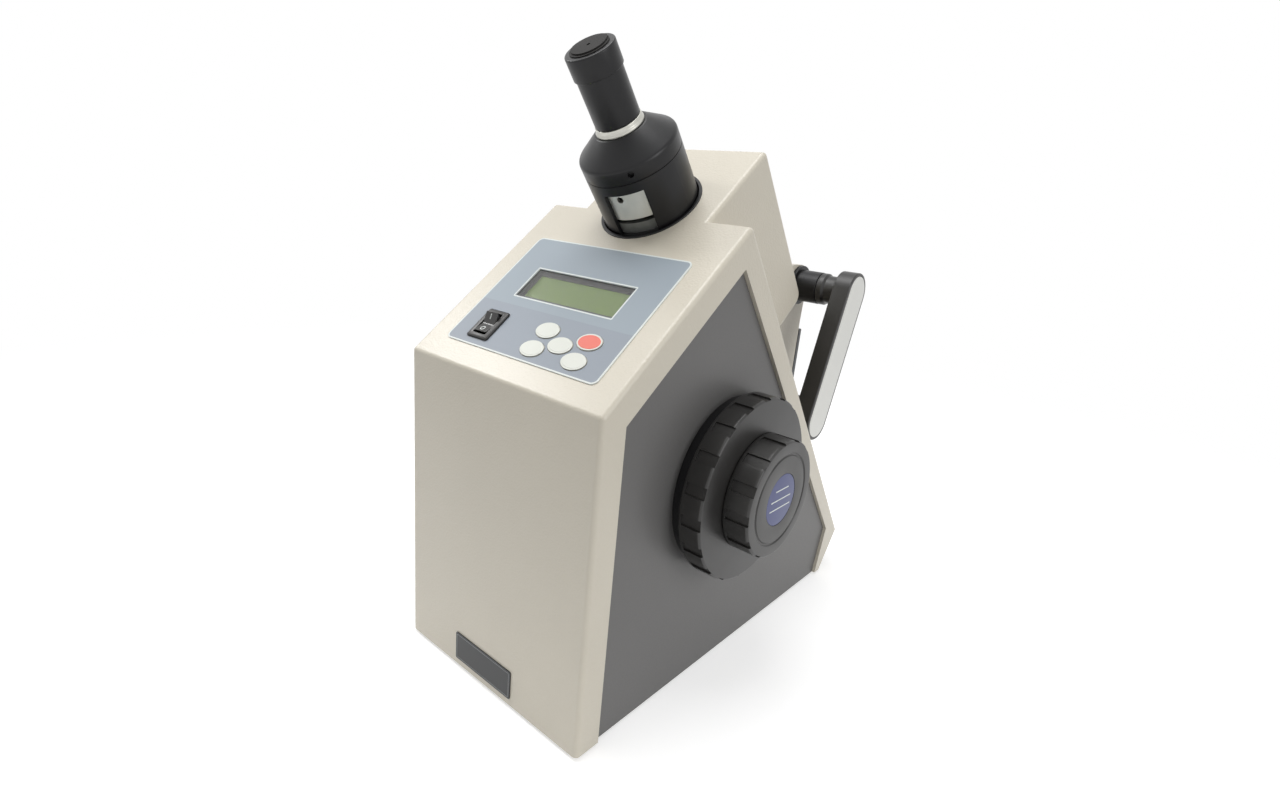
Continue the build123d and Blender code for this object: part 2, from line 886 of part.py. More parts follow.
# objective tube inside the tower, with its lens and the folding mirror under it
scope_top = barrel_foot + barrel_flange_t
scope_foot = scope_top - scope_len
scope = turned_h(
    [
        (scope_r - scope_wall, scope_foot),
        (scope_r, scope_foot),
        (scope_r, barrel_foot - scope_flange_t),
        (barrel_r, barrel_foot - scope_flange_t),
        (barrel_r, barrel_foot),
        (scope_r, barrel_foot),
        (scope_r, scope_top),
        (scope_r - scope_wall, scope_top),
    ]
)
fold_h = scope_foot - fold_drop
fold_side = scope_r - fold_cheek_edge
fold_low = fold_h - fold_len / 2 + fold_cheek_low
fold_cheek = [
    (-fold_side, scope_foot + fold_cheek_edge),
    (fold_side, scope_foot + fold_cheek_edge),
    (fold_side, fold_low + fold_cheek_corner),
    (fold_side - fold_cheek_corner, fold_low),
    (0, fold_low),
    (-fold_side, scope_foot - fold_cheek_corner),
]
fold_in = fold_w / 2 + glass_gap
for x0 in (-fold_in - fold_cheek_t, fold_in):
    scope += eye * slab(fold_cheek, x0, x0 + fold_cheek_t)
scope -= rod_h(scope_r - scope_wall, scope_foot - over, scope_top + over)
save("objective_tube", scope)
objective_h = scope_foot + scope_lens_seat
objective = rod_h(scope_r - scope_wall - touch, objective_h, objective_h + objective_t)
save("telescope_glass", objective + reticle)

fold_deg = mirror_deg((eye_s, fold_h), (mirror_s, mirror_h), (eye_s, scope_foot))
fold_glass = Box(fold_w, fold_len, fold_t, align=(Align.CENTER, Align.CENTER, Align.MAX))
save("fold_mirror", eye * Pos(0, 0, fold_h) * Rot(fold_deg, 0, 0) * fold_glass)

# ---------------------------------------------------------------- handwheels and their drive
wy, wz = up(wheel_y, wheel_z)


def fan(r, half_deg):
    """Triangle from the centre that covers a fan of the given half angle out to radius r."""
    reach = r * math.tan(math.radians(half_deg))
    return Polygon((0, 0), (r, -reach), (r, reach), align=None)


def gripped_wheel(r, x0, x1, grips, first_deg, profile):
    """Wheel on the handwheel axis: turned profile with shallow finger hollows sunk into its rim."""
    body = turned_x(wy, wz, profile)
    half_deg = 180 / grips * grip_share
    hollow = (Circle(r + over) - Circle(r - grip_depth)) & fan(r + over, half_deg)
    start = Plane(origin=(x0 + grip_end, wy, wz), x_dir=(0, 1, 0), z_dir=(1, 0, 0))
    for i in range(grips):
        turn = Rot(0, 0, 90 + first_deg + 360 * i / grips)
        body -= extrude(start * (turn * hollow), amount=x1 - x0 - 2 * grip_end)
    return body


# bearing housing: black flange outside the panel, sleeve through it
bearing = turned_x(
    wy,
    wz,
    [
        (race_r, boss_x),
        (boss_r, boss_x),
        (boss_r, panel_out + touch),
        (flange_r, panel_out + touch),
        (flange_r, flange_x, flange_round),
        (race_r, flange_x),
    ],
)
save("handwheel_bearing", bearing)

coarse_end = coarse_x + coarse_w
shaft_out = race_r - shaft_gap
coarse_bore = fine_shaft_r + shaft_gap
hub_r_in = shaft_out - shaft_step
coarse_profile = [
    (hub_r_in, coarse_x),
    (coarse_r, coarse_x, rim_back_round),
    (coarse_r, coarse_end, rim_round),
    (hub_r_in, coarse_end),
]
coarse = gripped_wheel(coarse_r, coarse_x, coarse_end, coarse_grips, coarse_grip_deg, coarse_profile)
save("coarse_handwheel", coarse)

hollow = turned_x(
    wy,
    wz,
    [
        (coarse_bore, roller_x),
        (roller_r, roller_x),
        (roller_r, roller_x + roller_w),
        (shaft_out, roller_x + roller_w),
        (shaft_out, coarse_x - touch),
        (hub_r_in - touch, coarse_x - touch),
        (hub_r_in - touch, coarse_end),
        (coarse_bore, coarse_end),
    ],
)
ball_r = (race_r - fine_shaft_r) / 2 - shaft_gap
ball_orbit = (race_r + fine_shaft_r) / 2
balls = Part()
for i in range(drive_ball_n):
    spin = Pos(0, wy, wz) * Rot(360 * i / drive_ball_n, 0, 0)
    pocket_bar = extrude(Circle(ball_r + touch), amount=race_r)
    hollow -= spin * Pos(drive_ball_x, 0, 0) * pocket_bar
    balls += spin * Pos(drive_ball_x, 0, ball_orbit) * Sphere(ball_r)
save("coarse_shaft", hollow)
save("drive_balls", balls)

fine_x = coarse_end + fine_gap
fine_end = fine_x + fine_w
fine_profile = [
    (fine_shaft_r, fine_x),
    (fine_r, fine_x, rim_back_round),
    (fine_r, fine_end, rim_round),
    (fine_ring_r + fine_ring_w, fine_end),
    (fine_ring_r, fine_end - fine_ring_t),
    (fine_ring_r - fine_ring_w, fine_end),
    (disc_r + disc_gap, fine_end),
    (disc_r + disc_gap, fine_end - disc_face_t),
    (fine_shaft_r, fine_end - disc_face_t),
]
fine = gripped_wheel(fine_r, fine_x, fine_end, fine_grips, fine_grip_deg, fine_profile)
save("fine_handwheel", fine)
fine_shaft = rod_x(wy, wz, fine_shaft_r, roller_x - shaft_tail, fine_end - disc_face_t)
save("fine_shaft", fine_shaft)
disc = rod_x(wy, wz, disc_r, fine_end - disc_face_t + touch, fine_end - disc_gap)
save("wheel_disc", disc)

# ---------------------------------------------------------------- swinging mirror
my, mz = sh(mirror_s, mirror_h)
axis_gap = math.hypot(my - wy, mz - wz)
sector_r = axis_gap - roller_r - sector_gap
sector_deg = math.degrees(math.atan2(wz - mz, wy - my))
sector_x = roller_x + (roller_w - sector_t) / 2


sector_face = Circle(sector_r) & fan(sector_r, sector_half_deg)
lightening = (Circle(sector_r - sector_rim) - Circle(sector_slot_r)) & fan(sector_r, sector_slot_deg)
sector_face = sector_face + Circle(sector_hub_r) - lightening
sector_plane = Plane(origin=(sector_x, my, mz), x_dir=(0, 1, 0), z_dir=(1, 0, 0))
sector = extrude(sector_plane * (Rot(0, 0, sector_deg) * sector_face), amount=sector_t)
sector -= rod_x(my, mz, mirror_shaft_r, sector_x - over, sector_x + sector_t + over)
save("friction_sector", sector)

shaft_end = sector_x + sector_t + over
mirror_shaft = rod_x(my, mz, mirror_shaft_r, -frame_x - frame_t - shaft_tail, shaft_end)
carrier_half = mirror_shaft_r + mirror_bed + mirror_t
exit_y = seat_y(foot_h + prism_z - prism_deep / 2) + prism_sill
exit_point = to_sh(exit_y, foot_h + prism_z - prism_deep / 2)
swing_deg = mirror_deg((mirror_s, mirror_h), exit_point, (eye_s, fold_h))
carrier_tilt = console * Pos(0, mirror_s, mirror_h) * Rot(swing_deg, 0, 0)
carrier = carrier_tilt * Box(mirror_w + 2 * carrier_edge, mirror_len + 2 * carrier_lip, 2 * carrier_half)
carrier -= carrier_tilt * Pos(0, 0, carrier_half) * Box(
    mirror_w + 2 * glass_gap, mirror_len + 2 * glass_gap, 2 * mirror_t
)
carrier += mirror_shaft
save("mirror_carrier", carrier)
mirror_glass = carrier_tilt * Pos(0, 0, carrier_half) * Box(
    mirror_w, mirror_len, mirror_t, align=(Align.CENTER, Align.CENTER, Align.MAX)
)
save("swinging_mirror", mirror_glass)

frame_foot = foot_h + base_lift + base_t
frame_side = slab(
    [
        (my - frame_len / 2, frame_foot),
        (my + frame_len / 2, frame_foot),
        (my + frame_head, mz + frame_shoulder),
        (my + frame_head / 2, mz + frame_head),
        (my - frame_head / 2, mz + frame_head),
        (my - frame_head, mz + frame_shoulder),
    ],
    frame_x,
    frame_x + frame_t,
)
frame_side -= rod_x(my, mz, mirror_shaft_r + shaft_gap, frame_x - over, frame_x + frame_t + over)
window_pts = [
    (my - frame_len / 2 + frame_band, frame_foot + frame_band),
    (my + frame_len / 2 - frame_band, frame_foot + frame_band),
    (my + frame_head / 2, mz - frame_web),
    (my - frame_head / 2, mz - frame_web),
]
frame_side -= slab(window_pts, frame_x - over, frame_x + frame_t + over)
optics_frame = frame_side + mirror(frame_side, Plane.YZ)
optics_frame += slab(
    [
        (my - frame_len / 2, frame_foot),
        (my + frame_len / 2, frame_foot),
        (my + frame_len / 2, frame_foot + frame_sole_t),
        (my - frame_len / 2, frame_foot + frame_sole_t),
    ],
    -frame_x,
    frame_x,
)
save("optics_frame", optics_frame)

# ---------------------------------------------------------------- rear bracket with the prism unit
arm_rad = math.radians(arm_deg)
lamp_y, lamp_z = up(light_y, light_z)
py_ = lamp_y + arm_len * math.sin(arm_rad)
pz_ = lamp_z + arm_len * math.cos(arm_rad)
rear_s = slope_len
cheek_profile = [
    sh(tower_s, -bracket_root),
    (py_, pz_ + boss_pad_r),
    (py_ + 0.9 * boss_pad_r, pz_ - 0.8 * boss_pad_r),
    up(bracket_rear_y, bracket_rear_top),
    up(bracket_rear_y, bracket_rear_low),
    up(bracket_heel_y, bracket_heel_z),
    sh(rear_s, -bracket_foot),
    sh(rear_s, -tower_drop),
    sh(tower_s, -tower_drop),
]
cheek = slab(cheek_profile, cheek_x, cheek_x + cheek_t)
cheek += rod_x(py_, pz_, boss_pad_r, cheek_x, cheek_x + cheek_t)
hy, hz = up(hinge_y, hinge_z)
cheek -= rod_x(hy, hz, hinge_pin_r, cheek_x - over, cheek_x + cheek_t + over)
left_cheek = mirror(cheek, Plane.YZ)
right_cheek = cheek - rod_x(lamp_y, lamp_z, light_r, cheek_x - over, cheek_x + cheek_t + over)
bracket_base = slab(
    [
        sh(rear_s, -tower_drop),
        sh(rear_s + bracket_base_t, -tower_drop),
        sh(rear_s + bracket_base_t, -bracket_foot),
        sh(rear_s, -bracket_foot),
    ],
    -cheek_x,
    cheek_x,
)
bracket_base -= console * Pos(0, rear_s - over, port_h) * Box(
    port_w, bracket_base_t + 2 * over, port_len, align=(Align.CENTER, Align.MIN, Align.CENTER)
)
bracket = left_cheek + right_cheek + bracket_base
save("prism_bracket", bracket)

box_half = cheek_x - prism_box_gap

box_top = foot_h + prism_z
box_floor = foot_h + prism_box_floor
prism_box = slab(
    [
        (seat_y(box_top), box_top),
        (prism_box_rear, box_top),
        (prism_box_rear, box_floor),
        (seat_y(box_floor), box_floor),
    ],
    -box_half,
    box_half,
)
prism_foot = box_top - prism_deep
prism_rear = seat_y(box_top) + prism_sill + prism_len
prism_pocket = [
    (seat_y(box_top + over) + prism_sill, box_top + over),
    (prism_rear, box_top + over),
    (prism_rear, prism_foot),
    (seat_y(prism_foot) + prism_sill, prism_foot),
]
prism_box -= slab(prism_pocket, -prism_w / 2, prism_w / 2)
exit_h = to_sh(seat_y(box_top - prism_deep / 2), box_top - prism_deep / 2)[1]
prism_box -= console * Pos(0, seat_s - over, exit_h) * Box(
    exit_w, prism_sill + 2 * over, exit_len, align=(Align.CENTER, Align.MIN, Align.CENTER)
)
prism_faces = [
    (seat_y(box_top) + prism_sill + glass_gap, box_top),
    (prism_rear - glass_gap, box_top),
    (prism_rear - glass_gap, prism_foot + glass_gap),
    (seat_y(prism_foot + glass_gap) + prism_sill + glass_gap, prism_foot + glass_gap),
]
refracting = slab(prism_faces, -prism_w / 2 + glass_gap, prism_w / 2 - glass_gap)
save("refracting_prism", refracting)

lid_z0 = box_top + joint_gap
lid_top_z = foot_h + lid_top
plate_top_z = foot_h + lid_plate_top
lid = slab(
    [
        (lid_y0, lid_z0),
        (lid_rear, lid_z0),
        (lid_rear, plate_top_z, lid_plate_round),
        (lid_rear - lid_plate_t, plate_top_z, lid_plate_round),
        (lid_rear - lid_plate_t, lid_top_z),
        (hy + lid_web, lid_top_z),
        (hy, hz + hinge_r),
        (hy - lid_toe, hz - hinge_r + over),
    ],
    -box_half,
    box_half,
)
lid += rod_x(hy, hz, hinge_r, -box_half, box_half)
lid -= rod_x(hy, hz, hinge_pin_r + shaft_gap, -box_half - over, box_half + over)
entry_y = prism_rear - entry_len / 2
entry_at = Pos(0, entry_y, lid_z0)
lid -= entry_at * Box(prism_w, entry_len, 2 * entry_deep)
lid -= Pos(0, entry_y, lid_z0 + lid_window_lip) * Box(
    box_half + over, lid_window_w, lid_window_h, align=(Align.MIN, Align.CENTER, Align.MIN)
)
entering = entry_at * Box(
    prism_w - 2 * glass_gap,
    entry_len - 2 * glass_gap,
    entry_deep - glass_gap,
    align=(Align.CENTER, Align.CENTER, Align.MIN),
)
save("entering_prism", entering)
pin_end = cheek_x + cheek_t + hinge_pin_proud
hinge_pin = rod_x(hy, hz, hinge_pin_r, -pin_end, pin_end)
save("hinge_pin", hinge_pin)

knob_plane = Plane(origin=(0, lid_rear, foot_h + lid_knob_z), x_dir=(1, 0, 0), z_dir=(0, 1, 0))
lid_knob = revolve(
    Plane.XZ
    * Polygon(
        (0, 0),
        (lid_knob_r * 0.55, 0),
        (lid_knob_r * 0.55, lid_knob_len * 0.4),
        (lid_knob_r, lid_knob_len * 0.55),
        (lid_knob_r, lid_knob_len * 0.9),
        (lid_knob_r - lid_knob_round, lid_knob_len),
        (0, lid_knob_len),
        align=None,
    ),
    Axis.Z,
)
save("lid_knob", knob_plane.location * lid_knob)

nozzle = revolve(
    Plane.XZ
    * Polygon(
        (nozzle_bore_r, 0),
        (nozzle_r + nozzle_flange, 0),
        (nozzle_r + nozzle_flange, nozzle_flange_t),
        (nozzle_r, nozzle_flange_t),
        (nozzle_r, nozzle_len - nozzle_barb_len - nozzle_barb),
        (nozzle_r + nozzle_barb, nozzle_len - nozzle_barb_len),
        (nozzle_r - nozzle_barb, nozzle_len),
        (nozzle_bore_r, nozzle_len),
        align=None,
    ),
    Axis.Z,
)
rear_plane = Plane(origin=(0, prism_box_rear, box_floor + nozzle_up), x_dir=(1, 0, 0), z_dir=(0, 1, 0)).location
lower_nozzles = rear_plane * Pos(-nozzle_x, 0, 0) * nozzle + rear_plane * Pos(nozzle_x, 0, 0) * nozzle
save("lower_prism_box", prism_box + lower_nozzles)
lid_nozzle_y = lid_rear - lid_nozzle_in
upper_nozzles = Pos(-nozzle_x, lid_nozzle_y, lid_top_z) * nozzle + Pos(nozzle_x, lid_nozzle_y, lid_top_z) * nozzle
save("upper_prism_box", lid + upper_nozzles)

# ---------------------------------------------------------------- lamp arm
cheek_out = cheek_x + cheek_t
pivot_tube = turned_x(
    py_,
    pz_,
    [
        (pivot_shaft_r + shaft_gap, cheek_out),
        (boss_pad_r - pivot_round, cheek_out),
        (boss_pad_r - pivot_round, cheek_out + pivot_flange_t, pivot_round),
        (pivot_tube_r, cheek_out + pivot_flange_t),
        (pivot_tube_r, pivot_tube_x, pivot_round),
        (pivot_shaft_r + shaft_gap, pivot_tube_x),
    ],
)
save("arm_pivot_tube", pivot_tube)

hub_x = pivot_tube_x + fit_gap
arm_shaft = turned_x(
    py_,
    pz_,
    [
        (0, cheek_out + pivot_play),
        (pivot_shaft_r, cheek_out + pivot_play),
        (pivot_shaft_r, hub_x),
        (hub_r, hub_x, pivot_round),
        (hub_r, hub_x + hub_len),
        (neck_r, hub_x + hub_len + neck_taper),
        (neck_r, arm_in_x),
        (0, arm_in_x),
    ],
)

arm_plane = Plane(origin=(0, py_, pz_), x_dir=(0, 1, 0), z_dir=(1, 0, 0)).location
arm_turn = arm_plane * Rot(0, 0, 90 - arm_deg)
arm_mid = Pos(-arm_len / 2, 0, 0)
arm_face = SlotCenterToCenter(arm_len, 2 * arm_r)
arm = extrude(arm_mid * arm_face, amount=arm_t)
arm = fillet(arm.edges().group_by(Axis.Z)[-1] + arm.edges().group_by(Axis.Z)[0], arm_round)
inlay_face = SlotCenterToCenter(arm_len, 2 * (arm_r - inlay_border))
inlay = extrude(arm_mid * inlay_face, amount=inlay_t)
arm -= Pos(0, 0, arm_t - inlay_t + inlay_proud) * inlay
spigot_hole = extrude(Circle(lamp_spigot_r + shaft_gap), amount=lamp_spigot_len + over + fit_gap)
arm -= Pos(-arm_len, 0, -over) * spigot_hole
save("lamp_arm", arm_turn * Pos(0, 0, arm_in_x) * arm + arm_shaft)
save("arm_inlay", arm_turn * Pos(0, 0, arm_in_x + arm_t - inlay_t + inlay_proud) * inlay)

lamp_in = lamp_r - lamp_wall
condenser = turned_x(
    lamp_y,
    lamp_z,
    [
        (lamp_in, lamp_x),
        (lamp_r, lamp_x, lamp_round),
        (lamp_r, arm_in_x - fit_gap, lamp_round),
        (lamp_spigot_r, arm_in_x - fit_gap),
        (lamp_spigot_r, arm_in_x + lamp_spigot_len),
        (bulb_r + bulb_gap, arm_in_x + lamp_spigot_len),
        (bulb_r + bulb_gap, arm_in_x - lamp_floor),
        (lamp_in, arm_in_x - lamp_floor),
    ],
)
save("condenser_tube", condenser)
lamp_lens = rod_x(lamp_y, lamp_z, lamp_in - touch, lamp_x + over, lamp_x + over + lamp_lens_t)
save("condenser_lens", lamp_lens)
bulb = rod_x(lamp_y, lamp_z, bulb_r, arm_in_x - bulb_out, arm_in_x + lamp_spigot_len - over)
bulb += Pos(arm_in_x - bulb_out, lamp_y, lamp_z) * Sphere(bulb_r)
save("lamp", bulb)

# ---------------------------------------------------------------- boards, supply and sockets
board = Pos(0, board_y, frame_foot + spacer_h) * Box(
    board_w, board_len, board_t, align=(Align.CENTER, Align.CENTER, Align.MIN)
)
post_x = board_w / 2 - post_inset
post_y = board_len / 2 - post_inset
for sx in (-1, 1):
    for sy in (-1, 1):
        spacer = extrude(Circle(spacer_r), amount=spacer_h)
        board += Pos(sx * post_x, board_y + sy * post_y, frame_foot) * spacer
board_top = frame_foot + spacer_h + board_t
on_board = (Align.CENTER, Align.CENTER, Align.MIN)
board += Pos(chip_x, board_y, board_top) * Box(chip_w, chip_len, chip_h, align=on_board)
edge_plug = Box(edge_plug_w, edge_plug_len, edge_plug_h, align=on_board)
board += Pos(edge_plug_x, board_y + edge_plug_y, board_top) * edge_plug
save("circuit_boards", board + console * key_board)

base_rear = knee[0] - undercut - 1.3 * wall - fit_gap
supply = Pos(0, base_rear - supply_rear - supply_len / 2, frame_foot) * Box(
    supply_w, supply_len, supply_h, align=on_board
)
supply = fillet(supply.edges().filter_by(Axis.Z), supply_round)
save("power_supply", supply)

panel_x = -panel_out
inlet_at = Pos(panel_x, inlet_y, foot_h + inlet_z)
outwards = (Align.MAX, Align.CENTER, Align.CENTER)
inwards = (Align.MIN, Align.CENTER, Align.CENTER)
inlet = inlet_at * Box(inlet_flange_t, inlet_w + 2 * inlet_ear, inlet_h, align=outwards)
inlet = fillet(inlet.edges().filter_by(Axis.X), inlet_corner_r)
inlet_body_w = inlet_w - 2 * (inlet_seat + fit_gap)
inlet_body_h = inlet_h - 2 * (inlet_seat + fit_gap)
inlet += inlet_at * Box(inlet_deep, inlet_body_w, inlet_body_h, align=inwards)
inlet_well = Box(inlet_well_deep + 2 * inlet_flange_t, inlet_well_w, inlet_well_h, align=inwards)
inlet -= inlet_at * Pos(-2 * inlet_flange_t, 0, 0) * inlet_well
for dy, dz in ((-pin_dx, pin_low), (0, pin_high), (pin_dx, pin_low)):
    inlet += inlet_at * Pos(over, dy, dz) * Box(inlet_well_deep, pin_w, pin_h, align=inwards)

serial_at = Pos(panel_x, serial_y, foot_h + serial_z)
serial = serial_at * Box(serial_flange_t, serial_w, serial_h, align=outwards)
serial_shell = Box(serial_proud + serial_deep, serial_shell_w, serial_shell_h, align=inwards)
serial += serial_at * Pos(-serial_proud, 0, 0) * serial_shell
serial_hollow = Box(
    serial_proud, serial_shell_w - 2 * serial_shell_t, serial_shell_h - 2 * serial_shell_t, align=inwards
)
serial -= serial_at * Pos(-serial_proud - over, 0, 0) * serial_hollow
save("rear_sockets", inlet + serial)
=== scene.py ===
"""Looks of an abbe refractometer with a digital readout, made around its packed model."""
import json
import math

import bmesh
import bpy
from bpy.props import FloatProperty, FloatVectorProperty, IntProperty, PointerProperty
from mathutils import Matrix, Vector


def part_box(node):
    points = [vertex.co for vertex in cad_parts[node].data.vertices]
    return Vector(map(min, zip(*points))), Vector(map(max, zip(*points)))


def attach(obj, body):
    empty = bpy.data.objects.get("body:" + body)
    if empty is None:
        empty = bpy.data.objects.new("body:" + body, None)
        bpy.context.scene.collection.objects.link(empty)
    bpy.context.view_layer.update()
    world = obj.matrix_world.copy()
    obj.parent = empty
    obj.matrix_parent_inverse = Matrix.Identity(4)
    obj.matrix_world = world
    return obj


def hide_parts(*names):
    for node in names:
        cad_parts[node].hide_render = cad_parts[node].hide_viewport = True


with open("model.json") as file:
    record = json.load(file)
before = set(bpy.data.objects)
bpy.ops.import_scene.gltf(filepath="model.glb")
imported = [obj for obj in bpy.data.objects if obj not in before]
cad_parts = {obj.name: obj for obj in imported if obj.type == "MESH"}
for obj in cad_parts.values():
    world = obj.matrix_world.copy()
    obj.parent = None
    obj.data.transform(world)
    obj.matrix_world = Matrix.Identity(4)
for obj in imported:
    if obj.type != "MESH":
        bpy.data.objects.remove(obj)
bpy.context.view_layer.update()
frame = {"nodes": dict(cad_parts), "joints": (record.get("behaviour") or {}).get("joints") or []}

bl_info = {
    "name": "Abbe refractometer",
    "version": (1, 0, 0),
    "blender": (4, 5, 0),
    "location": "3D View > Sidebar > Refractometer",
    "description": "Finishes and detailed pieces of a bench refractometer around its frame",
    "category": "Add Mesh",
}

MM = 0.001
TURN_STEPS = 128        # faces round a turned piece
ARC_STEPS = 5           # least number of faces along a rounded corner
OVAL_STEPS = 72         # faces round an oval
HOLLOW_STEPS = 4        # faces across half a finger hollow
SMOOTH_ANGLE = math.radians(32)
WELD = 0.002 * MM
NEAR = 0.01             # millimetres within which a corner counts as on a line


# ---------------------------------------------------------------- places on the instrument
class Place:
    """A spot with its own axes, z out of the surface. Its coordinates are millimetres."""

    def __init__(self, origin, x, y, z):
        self.origin = Vector(origin)
        self.x = Vector(x).normalized()
        self.y = Vector(y).normalized()
        self.z = Vector(z).normalized()

    def along(self, x, y, z):
        return (self.x * x + self.y * y + self.z * z) * MM

    def point(self, x, y, z):
        return self.origin + self.along(x, y, z)

    def local(self, spot):
        away = (spot - self.origin) / MM
        return Vector((away.dot(self.x), away.dot(self.y), away.dot(self.z)))

    def tilt(self):
        return Matrix((self.x, self.y, self.z)).transposed().to_euler()

    def moved(self, x, y, z):
        return Place(self.point(x, y, z), self.x, self.y, self.z)


joints = {joint["name"]: joint for joint in frame["joints"]}


def anchor(joint):
    return Vector(joints[joint]["pos_m"])


def extent(node):
    """Lowest and highest corner of a CAD node, in millimetres."""
    low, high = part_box(node)
    return low / MM, high / MM


ACROSS = (1, 0, 0)
eye_axis = Vector(joints["dispersion_turn"]["axis"])
up_slope = Vector((0, eye_axis.z, -eye_axis.y))
EYE_UP_SLOPE = 152.0    # from the front edge of the console to the eyepiece axis
eyepiece = Place(anchor("counter_turn"), ACROSS, up_slope, eye_axis)
console = eyepiece.moved(0, -EYE_UP_SLOPE, 0)
wheel_centre = anchor("coarse_turn")
wheels = Place((0, wheel_centre.y, wheel_centre.z), (0, 1, 0), (0, 0, 1), ACROSS)
pivot = anchor("arm_swing")
lamp = anchor("condenser_turn")
arm_down = Vector((0, lamp.y - pivot.y, lamp.z - pivot.z))
arm_length = arm_down.length / MM
arm_down.normalize()
arm = Place((0, pivot.y, pivot.z), arm_down, Vector(ACROSS).cross(arm_down), ACROSS)
case_low, case_high = extent("main_casing")
middle = (case_low.x + case_high.x) / 2
front = Place((middle * MM, case_low.y * MM, 0), ACROSS, (0, 0, 1), (0, -1, 0))
ROCKER_TILT = math.radians(9)
rocker_back = console.y * math.cos(ROCKER_TILT) + console.z * math.sin(ROCKER_TILT)
rocker_side = Place(anchor("rocker_tilt"), rocker_back, ACROSS, Vector(ACROSS).cross(rocker_back))
arm_side = Place(arm.origin, arm.x, ACROSS, arm.y)
knob_low, knob_high = extent("lid_knob")
knob = Place(
    Vector(((knob_low.x + knob_high.x) / 2, knob_low.y, (knob_low.z + knob_high.z) / 2)) * MM,
    ACROSS, (0, 0, -1), (0, 1, 0),
)
sockets = Place((extent("left_side_panel")[0].x * MM, 0, 0), (0, -1, 0), (0, 0, 1), (-1, 0, 0))


# ---------------------------------------------------------------- sizes read off the instrument, in mm
# Eyepiece: radii, and heights along its axis from the slope of the console.
BARREL_R = 30.6
BARREL_IN = 28.3
HOOD_FOOT = 33.95
HOOD_SHOULDER = 42.8
HOOD_TOP = 53.9
HOOD_NECK = 16.0
HOOD_WALL = 2.6
HOOD_ROOF = 2.5         # under the shoulder
HOOD_BORE = 5.0         # length of its bore round the sleeve
HOOD_REBATE = 3.0       # height of the wider stretch inside its foot
PLAY = 0.1              # between turned parts
SEAT = 0.05             # how far above its neighbour a seated part begins
SCREW_DEG = 38.8        # from the front towards the operator's right
SCREW_H = 39.0
SCREW_R = 1.75
SCREW_HOLE_R = 1.9
SCREW_DOWN = 2.4        # how far its head lies below the skin of the barrel
SCREW_LEN = 2.0
SCREW_FLOOR = 0.5       # thickness under its socket
SCREW_SOCKET_R = 0.9
SLEEVE_R = 12.2
SLEEVE_WALL = 2.0
SLEEVE_DOWN = 9.0       # below the top of the cone
SLEEVE_UP = 17.0        # above the silver ring
SILVER_R = 14.1
SILVER_RIM = 0.7
SILVER_TOP = 58.2
TUBE_R = 13.6
CUP_R = 14.6
CUP_FOOT = 86.2
CUP_TOP = 99.2
CUP_BORE = 9.84
CUP_DEEP = 4.0
CAP_TOP = 100.5
CAP_BRIM = 1.6          # how far the cap reaches past the bore that it plugs
CAP_PLUG = 6.0
CAP_STEP_R = 10.4
CAP_STEP_SIDE = -1.0
CAP_STEP_BACK = 1.6
DIMPLE_R = 1.1
DIMPLE_DEEP = 0.5

# Handwheels: the angle of the first hollow is from the top towards the rear, in degrees.
SHAFT_R = 8.96
FINE_SHAFT_R = 4.0
DISC_R = 16.3
DISC_DEEP = 0.6
RING_DEEP = 0.7
GRIP_FOOT = 2.0         # plain rim beside the hollows
COARSE_FIRST = -1.2
FINE_FIRST = -12.1
DISC_LINES = ((6.8, 7.6), (0.6, 11.5), (-5.0, 12.0))    # height on the disc and half length

# Console: x from the eyepiece's axis, s up the slope from the front edge.
LABEL_X = 0.4
LABEL_S = 61.6
LABEL_W = 124.4
LABEL_LEN = 93.2
LABEL_CORNER = 4.0
LABEL_T = 0.6
PRINT_T = 0.04
CUT_GAP = 0.3
LCD_X = 0.9
LCD_S = 69.5
LCD_W = 80.0
LCD_LEN = 25.0
GLASS_X = 0.3
GLASS_S = 69.9
GLASS_DOWN = 3.25       # foot of the well that frames the glass, below the slope
WELL_DOWN = 0.55        # top of that well
WELL_WALL = 0.7
SHADE_BEZEL = 3.4             # dark bezel round the glass, which also stands in for the shade in the recess: painted shade
SHADE_BEZEL_T = 0.45
DOT_PITCH = 1.05
SWITCH_X = -37.1
SWITCH_S = 31.2
SWITCH_W = 18.4
SWITCH_LEN = 22.5
SWITCH_PROUD = 2.4
SWITCH_DEEP = 16.0
SWITCH_CORNER = 1.5
SWITCH_SLOPE = 0.3      # height of its chamfer
ROCKER_X = -36.5
ROCKER_W = 10.4
ROCKER_HALF = 6.9
ROCKER_RISE = 3.0       # its ends above its pivot
ROCKER_DISH = 0.2       # its middle above its pivot
ROCKER_SIDE = 4.5       # its ends below its pivot
ROCKER_DEEP = 8.0       # its middle below its pivot
MARK_LEN = 3.4
MARK_R = 1.7
KEY_ACROSS = 8.4
KEY_ALONG = 5.7
KEY_T = 0.35
KEY_PROUD = 0.6
KEY_RIM = 0.9
KEY_STEM = 7.8
KEY_STEP_W = 0.3        # slope between the rim and the raised middle
KEY_STEP = 0.12
KEY_SIDE = 0.4          # how far the keys sit to the right of the CAD's
KEY_S = {"key_rear_left": 38.6, "key_rear_right": 38.6, "key_middle": 31.4,
         "key_front_left": 24.4, "key_front_right": 24.4}
KEYS = list(KEY_S)
RED_KEY = "key_rear_right"

